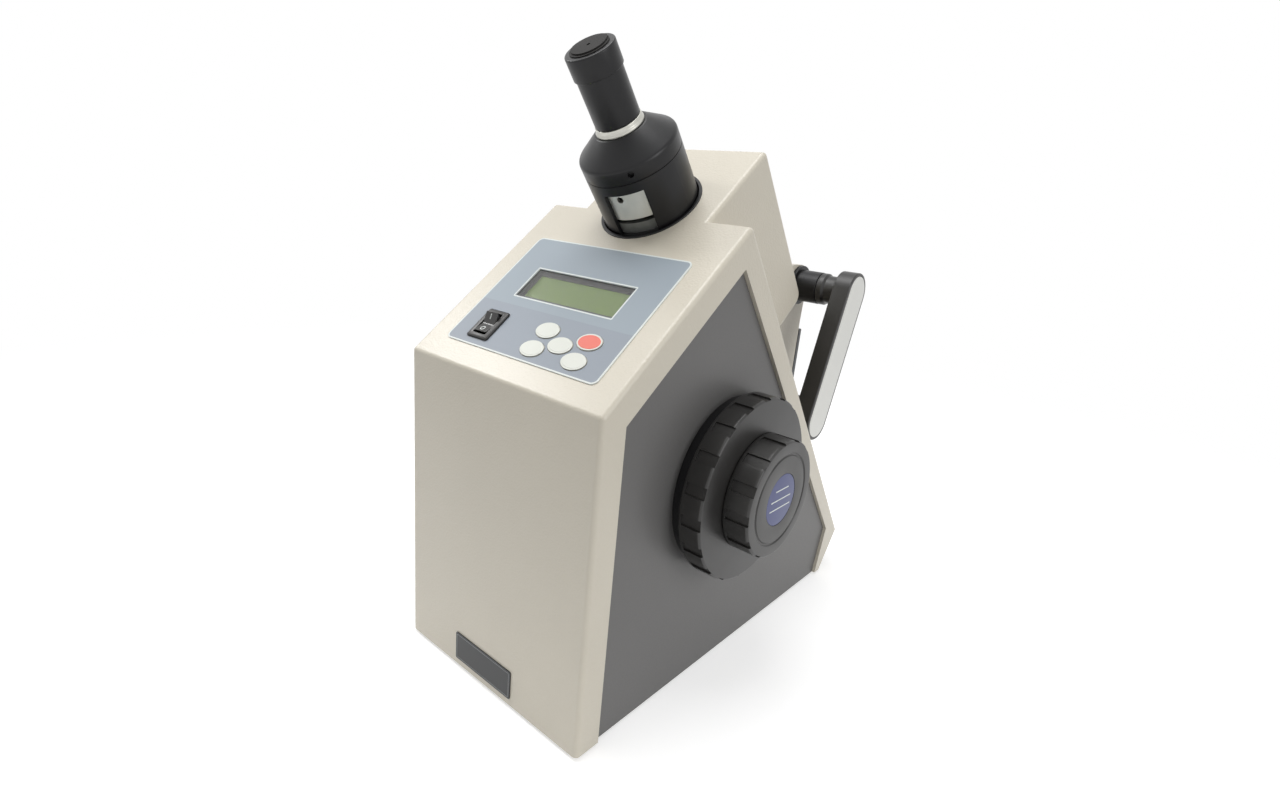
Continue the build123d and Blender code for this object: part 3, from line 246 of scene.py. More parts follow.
# Sockets and knob: the middles of the sockets are (towards the front, up) on the left side.
INLET = (-41.9, 38.5)
INLET_W = 56.0
INLET_H = 27.0
INLET_T = 2.5
INLET_DEEP = 18.0
INLET_WELL_W = 27.0
INLET_WELL_H = 17.0
INLET_WELL = 15.0
INLET_CUT = 3.5         # the two cut corners that keep a plug from going in upside down
INLET_BLADES = ((7.0, -2.0), (0.0, 3.0), (-7.0, -2.0))      # from its middle
BLADE_T = 2.0
BLADE_W = 4.0
SERIAL = (23.1, 36.5)
SERIAL_W = 31.0
SERIAL_H = 12.5
SERIAL_T = 1.2
SERIAL_PROUD = 5.0
SERIAL_DEEP = 10.0
SERIAL_INSERT = 2.6
SERIAL_SCREW = 12.3
SERIAL_SCREW_R = 1.5
SERIAL_PITCH = 2.77
SERIAL_PIN_R = 0.55
SERIAL_ROWS = ((1.4, 5), (-1.4, 4))     # height and number of holes
SHELL_W = 17.0
SHELL_H = 8.5
SHELL_T = 0.7
KNOB_STEM_R = 3.0
KNOB_FOOT = 3.0
KNOB_DISH = 0.5
KNOB_GRIPS = 16

# Lamp arm: x along its pivot, from the middle of the instrument.
ARM_R = 16.05
ARM_T = 13.4
HUB_X = 27.2
HUB_LEN = 4.4
HUB_R = 12.2
NECK_R = 10.8
PIVOT_SHAFT_R = 8.0

CLEAR = 1.0             # how far a cutter reaches past the surface that it opens

# Nodes whose finish differs from the one of their slot.
NODE_FINISH = {
    # The black flange of the handwheel bearing fills the band between the large wheel and the side panel,
    # where the gap lies in shade, so its black partly stands in for that shade: painted shade.
    "handwheel_bearing": "black_across", "arm_pivot_tube": "black_across",
    "condenser_tube": "black_across", "counter_cell": "cell_grey", "dispersion_drum": "drum_satin",
}

# Stage: lengths in metres, and each lamp as its name, spot, size and watts.
FLOOR_SIZE = 8.0
FLOOR_LIFT = 0.5
FLOOR_NEAR = 0.35
FLOOR_FAR = 1.1
FLOOR_SHADE = 0.8
WORLD_LEVEL = 0.42
LAMP_TARGET = (0, 0, 0.18)
LAMPS = (
    ("top_softbox", (-0.2, -0.2, 1.5), 0.9, 10.8),
    ("left_softbox", (-0.97, -0.38, 1.0), 0.3, 3.3),
    ("right_softbox", (1.4, -0.1, 0.7), 0.8, 6.0),
)

# Camera, solved from the straight edges of the casing and the round wheels.
CAMERA_SPOT = (0.2602, -0.3839, 0.3008)
CAMERA_RIGHT = (0.7581, 0.6457, 0.0909)
CAMERA_UP = (-0.2511, 0.1604, 0.9546)
CAMERA_NEAR = 0.01
LENS = 18.93
SENSOR = 36.0


def on_barrel(degrees, height):
    """Place that looks out of the barrel's side, degrees from the front towards the operator's right."""
    turn = math.radians(degrees)
    out = eyepiece.x * math.sin(turn) - eyepiece.y * math.cos(turn)
    return Place(eyepiece.point(0, 0, height), eyepiece.z.cross(out), eyepiece.z, out)


def key_place(node):
    """Place on the console over the middle of a key."""
    low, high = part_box(node)
    spot = console.local((low + high) / 2)
    return console.moved(spot.x + KEY_SIDE, KEY_S[node], 0)


# ---------------------------------------------------------------- sizes and colours to change
def hex_colour(code):
    """Linear colour of an sRGB hex code."""
    parts = [int(code[i:i + 2], 16) / 255 for i in (0, 2, 4)]
    return tuple(p / 12.92 if p <= 0.04045 else ((p + 0.055) / 1.055) ** 2.4 for p in parts)


def length(name, millimetres, description):
    return FloatProperty(name=name, description=description, default=millimetres * MM, min=0, unit="LENGTH")


def number(name, default, description):
    return IntProperty(name=name, description=description, default=default, min=3)


def shade(name, code, description):
    return FloatVectorProperty(
        name=name, description=description, default=hex_colour(code), subtype="COLOR", size=3, min=0, max=1
    )


class WheelSizes(bpy.types.PropertyGroup):
    """Sizes of the adjusting handwheels"""

    coarse_grips: number("Coarse grips", 19, "Finger hollows round the large wheel")
    fine_grips: number("Fine grips", 13, "Finger hollows round the small wheel")
    grip_depth: length("Grip depth", 1.1, "Depth of a finger hollow")
    grip_share: FloatProperty(
        name="Grip share", description="Share of the rim that is hollow", default=0.375, min=0.05, max=0.95)
    rim_round: length("Rim rounding", 1.5, "Radius of the outer edge of both wheels")
    ring_radius: length("Ring radius", 28.3, "Radius of the groove turned in the face of the small wheel")


class EyepieceSizes(bpy.types.PropertyGroup):
    """Sizes of the eyepiece"""

    shoulder_round: length("Shoulder rounding", 3.0, "Radius of the soft shoulder of the cone")
    cap_step: length("Cap step", 0.8, "Height of the crescent step on the dust cap")
    cup_round: length("Cup rounding", 1.0, "Radius of the eyecup's edges")


class ConsoleSizes(bpy.types.PropertyGroup):
    """Sizes of the console's prints and edges"""

    border: length("Border", 1.0, "Width of the white edge line of the label sheet")
    display_line: length("Display line", 0.9, "Width of the white line round the display")
    zone_up: length("Zone line", 50.0, "Distance of the line between the two tints from the front edge")
    switch_chamfer: length("Switch chamfer", 1.1, "Chamfer of the power switch frame")
    mark_line: length("Mark line", 0.55, "Stroke of the marks on the rocker")


class ArmSizes(bpy.types.PropertyGroup):
    """Sizes of the lamp arm"""

    edge_round: length("Edge rounding", 1.0, "Radius of the arm's long edges")
    inlay_border: length("Inlay border", 2.4, "Width of the black edge round the white inlay")
    inlay_depth: length("Inlay depth", 0.8, "Depth of the pocket for the inlay")


class Colours(bpy.types.PropertyGroup):
    """Colours of the instrument"""

    cream: shade("Cream coat", "D8D1C1", "Powder coat of the casing")
    panel: shade("Panel coat", "656463", "Powder coat of the side panels")
    sheet: shade("Label sheet", "9AA5AE", "Upper tint of the console label")
    sheet_low: shade("Label sheet, lower", "949CA6", "Lower tint of the console label")
    print_white: shade("White print", "E2E7E4", "Printed lines")
    display: shade("Display", "6A8426", "Liquid crystal display")
    key: shade("Key", "E2E4DB", "Push keys")
    key_red: shade("Red key", "EC7464", "Red push key")
    black: shade("Black plastic", "252423", "Moulded wheels, switch and arm")
    anodised: shade("Black anodising", "161618", "Eyepiece barrel and cone")
    blue: shade("Blue disc", "474F7E", "Label disc on the small wheel")
    plate: shade("Nameplate", "2A2C2E", "Bare plate on the front")
    inlay: shade("Inlay", "EFEFEA", "White face of the lamp arm")


# ---------------------------------------------------------------- modelling by hand, in code
def leave_edit():
    if bpy.context.object and bpy.context.object.mode != "OBJECT":
        bpy.ops.object.mode_set(mode="OBJECT")


def deselect():
    leave_edit()
    bpy.ops.object.select_all(action="DESELECT")


def open_piece(name):
    """Names the primitive just added, puts its place into its mesh and opens it with nothing selected."""
    piece = bpy.context.object
    piece.name = name
    piece.data.name = name
    bpy.ops.object.transform_apply(location=True, rotation=True, scale=True)
    bpy.ops.object.mode_set(mode="EDIT")
    bpy.ops.mesh.select_mode(type="VERT")
    bpy.ops.mesh.select_all(action="DESELECT")
    return piece


def pick(place, kind, test):
    """Selects each vertex, edge or face whose every corner passes a test in the place's millimetres."""
    bpy.ops.mesh.select_all(action="DESELECT")
    bpy.ops.mesh.select_mode(type=kind)
    mesh = bmesh.from_edit_mesh(bpy.context.object.data)
    items = {"VERT": mesh.verts, "EDGE": mesh.edges, "FACE": mesh.faces}[kind]
    for item in items:
        corners = [item] if kind == "VERT" else item.verts
        item.select_set(all(test(place.local(corner.co)) for corner in corners))
    mesh.select_flush_mode()
    bmesh.update_edit_mesh(bpy.context.object.data)


def close_piece():
    """Leaves the piece with welded points, outward faces and smooth round surfaces."""
    bpy.ops.object.mode_set(mode="EDIT")
    bpy.ops.mesh.select_all(action="SELECT")
    bpy.ops.mesh.remove_doubles(threshold=WELD)
    bpy.ops.mesh.normals_make_consistent(inside=False)
    bpy.ops.object.mode_set(mode="OBJECT")
    bpy.ops.object.shade_smooth_by_angle(angle=SMOOTH_ANGLE)
    return bpy.context.object


def modify(piece, kind, **settings):
    """Adds a modifier with its settings and applies it."""
    deselect()
    piece.select_set(True)
    bpy.context.view_layer.objects.active = piece
    modifier = piece.modifiers.new(kind.title(), kind)
    for name, value in settings.items():
        setattr(modifier, name, value)
    bpy.ops.object.modifier_apply(modifier=modifier.name)


def cut(piece, *cutters, joined=False):
    """Takes the cutters out of the piece and removes them. A joined piece has shells that overlap."""
    for cutter in cutters:
        modify(piece, "BOOLEAN", object=cutter, operation="DIFFERENCE", solver="EXACT", use_self=joined)
        bpy.data.objects.remove(cutter)
    return close_piece()


def soften(piece, width, segments=2):
    """Rounds every sharp edge of the piece by a width in millimetres."""
    modify(piece, "BEVEL", width=width * MM, segments=segments, limit_method="ANGLE",
           angle_limit=SMOOTH_ANGLE)
    return close_piece()


def join(first, *others):
    deselect()
    for piece in (first, *others):
        piece.select_set(True)
    bpy.context.view_layer.objects.active = first
    bpy.ops.object.join()
    return first


def eased(corners, closed):
    """Outline in which each corner that names a radius becomes an arc of that radius."""
    outline = []
    for i, (across, height, *radius) in enumerate(corners):
        here = Vector((across, height))
        ends = not closed and i in (0, len(corners) - 1)
        if not radius or not radius[0] or ends:
            outline.append(here)
            continue
        back = (Vector(corners[i - 1][:2]) - here).normalized()
        on = (Vector(corners[(i + 1) % len(corners)][:2]) - here).normalized()
        half = back.angle(on) / 2
        centre = here + (back + on).normalized() * radius[0] / math.sin(half)
        start = here + back * radius[0] / math.tan(half) - centre
        sweep = start.angle_signed(here + on * radius[0] / math.tan(half) - centre)
        parts = ARC_STEPS + round(radius[0])
        for step in range(parts + 1):
            outline.append(centre + Matrix.Rotation(-sweep * step / parts, 2) @ start)
    return outline


def drawn(name, place, outline):
    """Starts a piece as a line: one point, extruded on from corner to corner in the place's x and z."""
    deselect()
    bpy.ops.mesh.primitive_plane_add(size=MM)
    piece = open_piece(name)
    bpy.ops.mesh.select_all(action="SELECT")
    bpy.ops.mesh.merge(type="CENTER")
    bpy.ops.transform.translate(value=place.point(outline[0].x, 0, outline[0].y))
    for here, there in zip(outline, outline[1:]):
        step = place.along(there.x - here.x, 0, there.y - here.y)
        bpy.ops.mesh.extrude_vertices_move(TRANSFORM_OT_translate={"value": step})
    bpy.ops.mesh.select_all(action="SELECT")
    return piece


def turned(name, place, corners, steps=TURN_STEPS):
    """Piece turned on the place's z axis: its (radius, height) corners are drawn and spun round."""
    closed = corners[0][0] > 0
    outline = eased(corners, closed)
    if closed:
        outline.append(outline[0])
    drawn(name, place, outline)
    bpy.ops.mesh.spin(steps=steps, angle=math.tau, center=place.origin, axis=place.z)
    return close_piece()


def pulled(name, place, corners, low, high):
    """Piece with a drawn side: its (x, z) corners are joined to a face and pulled along the place's y."""
    outline = eased(corners, True)
    drawn(name, place.moved(0, low, 0), outline + outline[:1])
    bpy.ops.mesh.remove_doubles(threshold=WELD)
    bpy.ops.mesh.edge_face_add()
    bpy.ops.mesh.extrude_region_move(TRANSFORM_OT_translate={"value": place.along(0, high - low, 0)})
    return close_piece()


def stadium(reach, radius):
    """Outline of a bar with round ends, which turn on x = 0 and x = reach. Their radius is a touch smaller,
    so that the two arcs of an end don't meet in one point."""
    ends = radius * 0.999
    return [(-radius, -radius, ends), (reach + radius, -radius, ends), (reach + radius, radius, ends),
            (-radius, radius, ends)]


def ringed(piece, place, count):
    """The piece joined with its copies, set evenly round the place's z axis."""
    copies = [piece]
    for i in range(1, count):
        copies.append(copied(piece, piece.name, (0, 0, 0)))
        turn = Matrix.Rotation(math.tau * i / count, 4, place.z)
        copies[-1].matrix_world = Matrix.Translation(place.origin) @ turn @ Matrix.Translation(-place.origin)
        bpy.ops.object.transform_apply(location=True, rotation=True, scale=False)
    return join(*copies)


def gripped(name, place, corners, radius, low, high, grips, share, depth, first=0.0):
    """Turned wheel with hollows cut into its rim, the first one some degrees from the place's y axis."""
    piece = turned(name, place, corners)
    steps = range(-HOLLOW_STEPS, HOLLOW_STEPS + 1)
    arc = [math.radians(first) + math.pi * share / grips * step / HOLLOW_STEPS for step in steps]
    ends = [(radius + CLEAR, turn) for turn in arc] + [(radius - depth, turn) for turn in reversed(arc)]
    outline = [(away * math.cos(turn), away * math.sin(turn)) for away, turn in ends]
    side = Place(place.origin, place.y, place.z, place.x)
    hollow = pulled("hollow", side, outline, low, high)
    return cut(piece, ringed(hollow, place, grips))


def laid(name, place, width, depth, low, corner, corner_steps=8):
    """Starts a piece as a flat rectangle with rounded corners, at a height in a place, all selected."""
    deselect()
    bpy.ops.mesh.primitive_plane_add(size=1, location=place.point(0, 0, low), rotation=place.tilt())
    bpy.context.object.scale = (width * MM, depth * MM, 1)
    piece = open_piece(name)
    bpy.ops.mesh.select_all(action="SELECT")
    bpy.ops.mesh.bevel(offset=corner * MM, segments=corner_steps, affect="VERTICES")
    bpy.ops.mesh.select_all(action="SELECT")
    return piece


def raised(place, thickness):
    """Pulls what is selected out of the place's surface and closes the piece."""
    bpy.ops.mesh.extrude_region_move(TRANSFORM_OT_translate={"value": place.along(0, 0, thickness)})
    return close_piece()


def slab(name, place, width, depth, low, high, corner, corner_steps=8):
    """Flat plate in a place, with rounded corners, between two heights."""
    laid(name, place, width, depth, low, corner, corner_steps)
    return raised(place, high - low)


def frame_line(name, place, width, depth, line, low, high, corner):
    """Printed line round a rectangle, of a line width, as a thin raised film."""
    laid(name, place, width, depth, low, corner)
    bpy.ops.mesh.inset(thickness=line * MM)
    bpy.ops.mesh.delete(type="FACE")
    bpy.ops.mesh.select_all(action="SELECT")
    return raised(place, high - low)


def oval(name, place, across, along, low, high):
    """Flat oval block in a place, between two heights, its half lengths in millimetres."""
    deselect()
    bpy.ops.mesh.primitive_circle_add(
        vertices=OVAL_STEPS, radius=MM, fill_type="NGON",
        location=place.point(0, 0, low), rotation=place.tilt())
    bpy.context.object.scale = (across, along, 1)
    open_piece(name)
    bpy.ops.mesh.select_all(action="SELECT")
    return raised(place, high - low)


def rod(name, place, radius, low, high, steps=48):
    """Round bar on a place's z axis, used to cut holes."""
    deselect()
    bpy.ops.mesh.primitive_cylinder_add(
        vertices=steps, radius=radius * MM, depth=(high - low) * MM,
        location=place.point(0, 0, (low + high) / 2), rotation=place.tilt())
    open_piece(name)
    return close_piece()


def copied(piece, name, shift):
    """Copy of a finished piece, moved by a shift, with its own mesh."""
    deselect()
    piece.select_set(True)
    bpy.context.view_layer.objects.active = piece
    bpy.ops.object.duplicate()
    bpy.context.object.location = shift
    bpy.context.object.name = name
    bpy.ops.object.transform_apply(location=True, rotation=False, scale=False)
    return bpy.context.object


finishes = {}           # the materials by name, filled by the first operator


def dress(piece, finish, body, slot, *nodes):
    """Gives a finished piece its material and its body, and hides the CAD nodes that it stands for. Its slot
    is not used.
    """
    if finish:
        piece.data.materials.clear()
        piece.data.materials.append(finishes[finish])
    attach(piece, body)
    if nodes:
        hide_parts(*nodes)


# ---------------------------------------------------------------- materials
def add(tree, kind, inputs=None, **settings):
    """Adds one node with its settings, and sets or links its inputs."""
    item = tree.nodes.new("ShaderNode" + kind)
    for name, value in settings.items():
        setattr(item, name, value)
    for name, value in (inputs or {}).items():
        if isinstance(value, bpy.types.NodeSocket):
            tree.links.new(value, item.inputs[name])
        elif hasattr(item.inputs[name].default_value, "__len__") and len(value) == 3:
            size = len(item.inputs[name].default_value)
            item.inputs[name].default_value = (*value, 1)[:size]
        else:
            item.inputs[name].default_value = value
    return item


def emptied(holder):
    """Node tree of a new material or world, with nothing in it."""
    holder.use_nodes = True
    holder.node_tree.nodes.clear()
    return holder.node_tree


def begin_material(name):
    """New empty material, its node tree and its Object coordinates."""
    material = bpy.data.materials.new(name)
    tree = emptied(material)
    return material, tree, add(tree, "TexCoord").outputs["Object"]


def end_material(material, tree, kind, inputs):
    """Closes a material with a shader of this kind."""
    shader = add(tree, kind, inputs)
    add(tree, "OutputMaterial", {"Surface": shader.outputs[0]})
    return material


def scaled(colour, share):
    return tuple(c * share for c in colour)


def per_mm(millimetres):
    """Texture scale that makes one feature this large on Object coordinates."""
    return 1 / (millimetres * MM)


def noise(tree, spot, size, detail):
    """Cloudy value, its clouds about this many millimetres large."""
    return add(tree, "TexNoise", {"Vector": spot, "Scale": per_mm(size), "Detail": detail}).outputs["Fac"]


def waves(tree, spot, origin, axis, pitch):
    """Sine wave that runs along an axis, one wave to each pitch in millimetres."""
    away = add(tree, "VectorMath", {0: spot, 1: tuple(origin)}, operation="SUBTRACT")
    reach = add(tree, "VectorMath", {0: away.outputs[0], 1: tuple(axis)}, operation="DOT_PRODUCT")
    turn = add(tree, "Math", {0: reach.outputs["Value"], 1: per_mm(pitch) * math.tau}, operation="MULTIPLY")
    return add(tree, "Math", {0: turn.outputs[0]}, operation="SINE").outputs[0]


def relief(tree, height, strength, depth):
    """Surface direction over a relief this many millimetres deep."""
    return add(tree, "Bump", {"Height": height, "Strength": strength, "Distance": depth * MM}).outputs[0]


def blend(tree, share, low, high, start=0.0):
    """Colour between two, by a share that counts from the start."""
    ramp = add(tree, "ValToRGB", {"Fac": share})
    ramp.color_ramp.elements[0].position = start
    ramp.color_ramp.elements[0].color = (*low, 1)
    ramp.color_ramp.elements[1].color = (*high, 1)
    return ramp.outputs["Color"]


def between(tree, share, low, high, top=1.0):
    """Value between two, by a share that counts up to the top."""
    return add(tree, "MapRange", {
        "Value": share, "From Max": top, "To Min": low, "To Max": high}).outputs[0]


def greatest(tree, first, *others):
    """Greatest of some values."""
    for other in others:
        first = add(tree, "Math", {0: first, 1: other}, operation="MAXIMUM").outputs[0]
    return first


def powder_coat(name, colour, grain, height, roughness, speckle, coat=0.15):
    """Polyester powder coat, baked on steel or on a casting: an even colour with fine pits and beads in its
    skin, which catch the light as sparkle, and slightly uneven gloss."""
    material, tree, spot = begin_material(name)
    beads = add(tree, "TexVoronoi", {"Vector": spot, "Scale": per_mm(grain)}, feature="SMOOTH_F1")
    pits = beads.outputs["Distance"]
    skin = add(tree, "Math", {0: pits, 1: noise(tree, spot, grain * 2.2, 3.0)}, operation="ADD")
    return end_material(material, tree, "BsdfPrincipled", {
        "Base Color": blend(tree, noise(tree, spot, 60, 2.0), scaled(colour, 0.94), colour),
        "Roughness": between(tree, pits, roughness - speckle, roughness + speckle, 0.8),
        "Normal": relief(tree, skin.outputs[0], height, 0.12),
        "Coat Weight": coat, "Coat Roughness": 0.26,
    })


def moulded_plastic(name, colour, roughness=0.36, index=1.54):
    """Black plastic moulded in a spark-eroded tool, or black paint: a fine leathery matt grain that greys a
    little where the light grazes it, and slight differences of gloss from handling."""
    material, tree, spot = begin_material(name)
    worn = noise(tree, spot, 18, 3.0)
    return end_material(material, tree, "BsdfPrincipled", {
        "Base Color": blend(tree, worn, scaled(colour, 0.8), scaled(colour, 1.25)),
        "Roughness": between(tree, worn, roughness - 0.08, roughness + 0.08),
        "Normal": relief(tree, noise(tree, spot, 0.7, 4.0), 0.25, 0.05),
        "IOR": index,
    })


def turned_metal(name, colour, place, metallic, roughness, groove=0.5):
    """Metal turned on a lathe: faint closely spaced tool rings round the axis, which draw the highlights
    out, over a slightly cloudy surface."""
    material, tree, spot = begin_material(name)
    cloud = noise(tree, spot, 6, 4.0)
    return end_material(material, tree, "BsdfPrincipled", {
        "Base Color": blend(tree, cloud, scaled(colour, 0.85), colour),
        "Metallic": metallic,
        "Roughness": between(tree, cloud, roughness - 0.06, roughness + 0.08),
        "Normal": relief(tree, waves(tree, spot, place.origin, place.z, groove), 0.12, 0.02),
    })


def cast_metal(name, colour, grain, roughness, metallic=1.0):
    """Metal as cast, rolled or plated, or a silvered mirror: a cloudy sheen with a fine uneven skin."""
    material, tree, spot = begin_material(name)
    skin = noise(tree, spot, grain, 5.0)
    cloud = add(tree, "TexVoronoi", {"Vector": spot, "Scale": per_mm(grain * 6)}).outputs["Distance"]
    return end_material(material, tree, "BsdfPrincipled", {
        "Base Color": blend(tree, cloud, scaled(colour, 0.8), colour),
        "Metallic": metallic,
        "Roughness": between(tree, skin, roughness - 0.08, roughness + 0.1),
        "Normal": relief(tree, skin, 0.3, 0.05),
    })


def printed_film(name, colour, roughness=0.52):
    """Polyester film printed on its back, or another smooth coloured sheet: an even colour under a fine
    velvet texture that keeps the reflections soft."""
    material, tree, spot = begin_material(name)
    velvet = noise(tree, spot, 0.5, 3.0)
    return end_material(material, tree, "BsdfPrincipled", {
        "Base Color": blend(tree, noise(tree, spot, 35, 1.0), scaled(colour, 0.95), colour),
        "Roughness": between(tree, velvet, roughness - 0.05, roughness + 0.05),
        "Normal": relief(tree, velvet, 0.12, 0.03),
        "Coat Weight": 0.05, "Coat Roughness": 0.25,
    })


def display_glass(colour):
    """Reflective liquid crystal glass: yellow-green, with the faint squares of its unlit dots, and the soft
    sheen of its polariser."""
    material, tree, spot = begin_material("liquid_crystal_glass")
    over, along = (waves(tree, spot, console.origin, axis, DOT_PITCH) for axis in (console.x, console.y))
    dots = greatest(tree, over, along)
    return end_material(material, tree, "BsdfPrincipled", {
        "Base Color": blend(tree, dots, scaled(colour, 0.94), colour, 0.88), "Roughness": 0.35,
    })


def clear_material(name, colour, index, roughness=0.02):
    """Polished clear glass or acrylic: see-through, with a trace of waviness that moves the reflections."""
    material, tree, spot = begin_material(name)
    return end_material(material, tree, "BsdfPrincipled", {
        "Base Color": colour, "Roughness": roughness, "IOR": index, "Transmission Weight": 1.0,
        "Normal": relief(tree, noise(tree, spot, 25, 1.0), 0.05, 0.1),
    })


def vulcanised_rubber():
    """Nitrile rubber: dull black-grey with a fine dusty bloom."""
    material, tree, spot = begin_material("nitrile_rubber")
    bloom = noise(tree, spot, 2, 5.0)
    return end_material(material, tree, "BsdfPrincipled", {
        "Base Color": blend(tree, bloom, hex_colour("171717"), hex_colour("2B2A29")),
        "Roughness": 0.85,
        "Normal": relief(tree, bloom, 0.3, 0.08),
    })


def make_finishes(colours):
    """The finish of each material slot in the record, and the further ones that pieces and nodes use."""
    return {
        "cream_paint": powder_coat("powder_coated_steel_cream", colours.cream, 1.1, 1.0, 0.42, 0.14, 0.4),
        "grey_paint": powder_coat("powder_coated_steel_grey", colours.panel, 0.8, 0.22, 0.5, 0.06),
        "dark_paint": powder_coat("powder_coated_casting_dark", hex_colour("3A3C3F"), 0.9, 0.4, 0.45, 0.08),
        "steel_sheet": cast_metal("zinc_plated_steel_sheet", hex_colour("B9BBBD"), 1.5, 0.35),
        "black_rubber": vulcanised_rubber(),
        "label_film": printed_film("printed_polyester_film", colours.sheet),
        "clear_window": clear_material("polished_acrylic", (0.97, 0.98, 0.97), 1.49),
        "display_green": display_glass(colours.display),
        "key_white": printed_film("embossed_polyester_white", colours.key, 0.45),
        "key_red": printed_film("embossed_polyester_red", colours.key_red, 0.42),
        "black_plastic": moulded_plastic("moulded_abs_black", colours.black),
        "bare_aluminium": turned_metal("turned_aluminium_bare", hex_colour("C9CBCD"), front, 1.0, 0.3),
        "black_metal": turned_metal(
            "black_anodised_aluminium", colours.anodised, eyepiece, 0.35, 0.34, 0.6),
        "silver_ring": turned_metal("turned_aluminium", hex_colour("C9C8C0"), eyepiece, 0.85, 0.3),
        "optical_glass": clear_material("optical_crown_glass", (0.98, 0.99, 0.98), 1.52),
        "mirror_glass": cast_metal("silvered_glass", hex_colour("E8ECEE"), 8, 0.1),
        "steel_bar": turned_metal("ground_steel", hex_colour("A9ABAE"), wheels, 1.0, 0.22),
        "brass_part": turned_metal("turned_brass", hex_colour("C8A862"), wheels, 1.0, 0.3),
        "cast_part": cast_metal("cast_aluminium", hex_colour("9FA1A3"), 1.2, 0.5),
        "white_inlay": printed_film("white_polystyrene_sheet", colours.inlay, 0.4),
        "disc_blue": printed_film("printed_foil_blue", colours.blue, 0.4),
        "board_green": printed_film("glass_epoxy_board", hex_colour("1E5A3A"), 0.4),
        "lamp_glass": clear_material("lamp_glass", (0.98, 0.96, 0.9), 1.5, 0.1),
        "sheet_low": printed_film("printed_polyester_film_lower_tint", colours.sheet_low),
        "white_print": printed_film("screen_print_white", colours.print_white, 0.5),
        "plate": printed_film("anodised_plate_charcoal", colours.plate, 0.45),
        "plate_line": printed_film("screen_print_grey", hex_colour("8E9296"), 0.5),
        "dark_plate": printed_film("anodised_plate", colours.plate, 0.45),
        "black_matt": moulded_plastic("soft_polyethylene_black", colours.black, 0.7, 1.3),
        "black_gloss": moulded_plastic("polished_polycarbonate_black", colours.black, 0.22),
        "black_satin": moulded_plastic("painted_die_casting_black", colours.black, 0.36),
        "nickel": cast_metal("nickel_plated_steel", hex_colour("C2BDB2"), 1.5, 0.28),
        "drum_satin": turned_metal("satin_aluminium", hex_colour("E0E0D8"), eyepiece, 0.75, 0.42),
        "cell_grey": cast_metal("zinc_die_casting_grey", hex_colour("7C7E7B"), 0.8, 0.45, 0.6),
        "black_across": turned_metal("black_anodised_flange", colours.anodised, wheels, 0.35, 0.36, 0.6),
    }


# ---------------------------------------------------------------- operators, one for each group of pieces
class REFRACTOMETER_OT_finishes(bpy.types.Operator):
    """Makes the materials and gives each CAD node the one of its slot"""

    bl_idname = "refractometer.finishes"
    bl_label = "Finishes"

    def execute(self, context):
        finishes.update(make_finishes(context.scene.refractometer_colours))
        for name, node in frame["nodes"].items():
            for place in node.material_slots:
                place.material = finishes[NODE_FINISH.get(name, place.material.name.split(".")[0])]
        return {"FINISHED"}


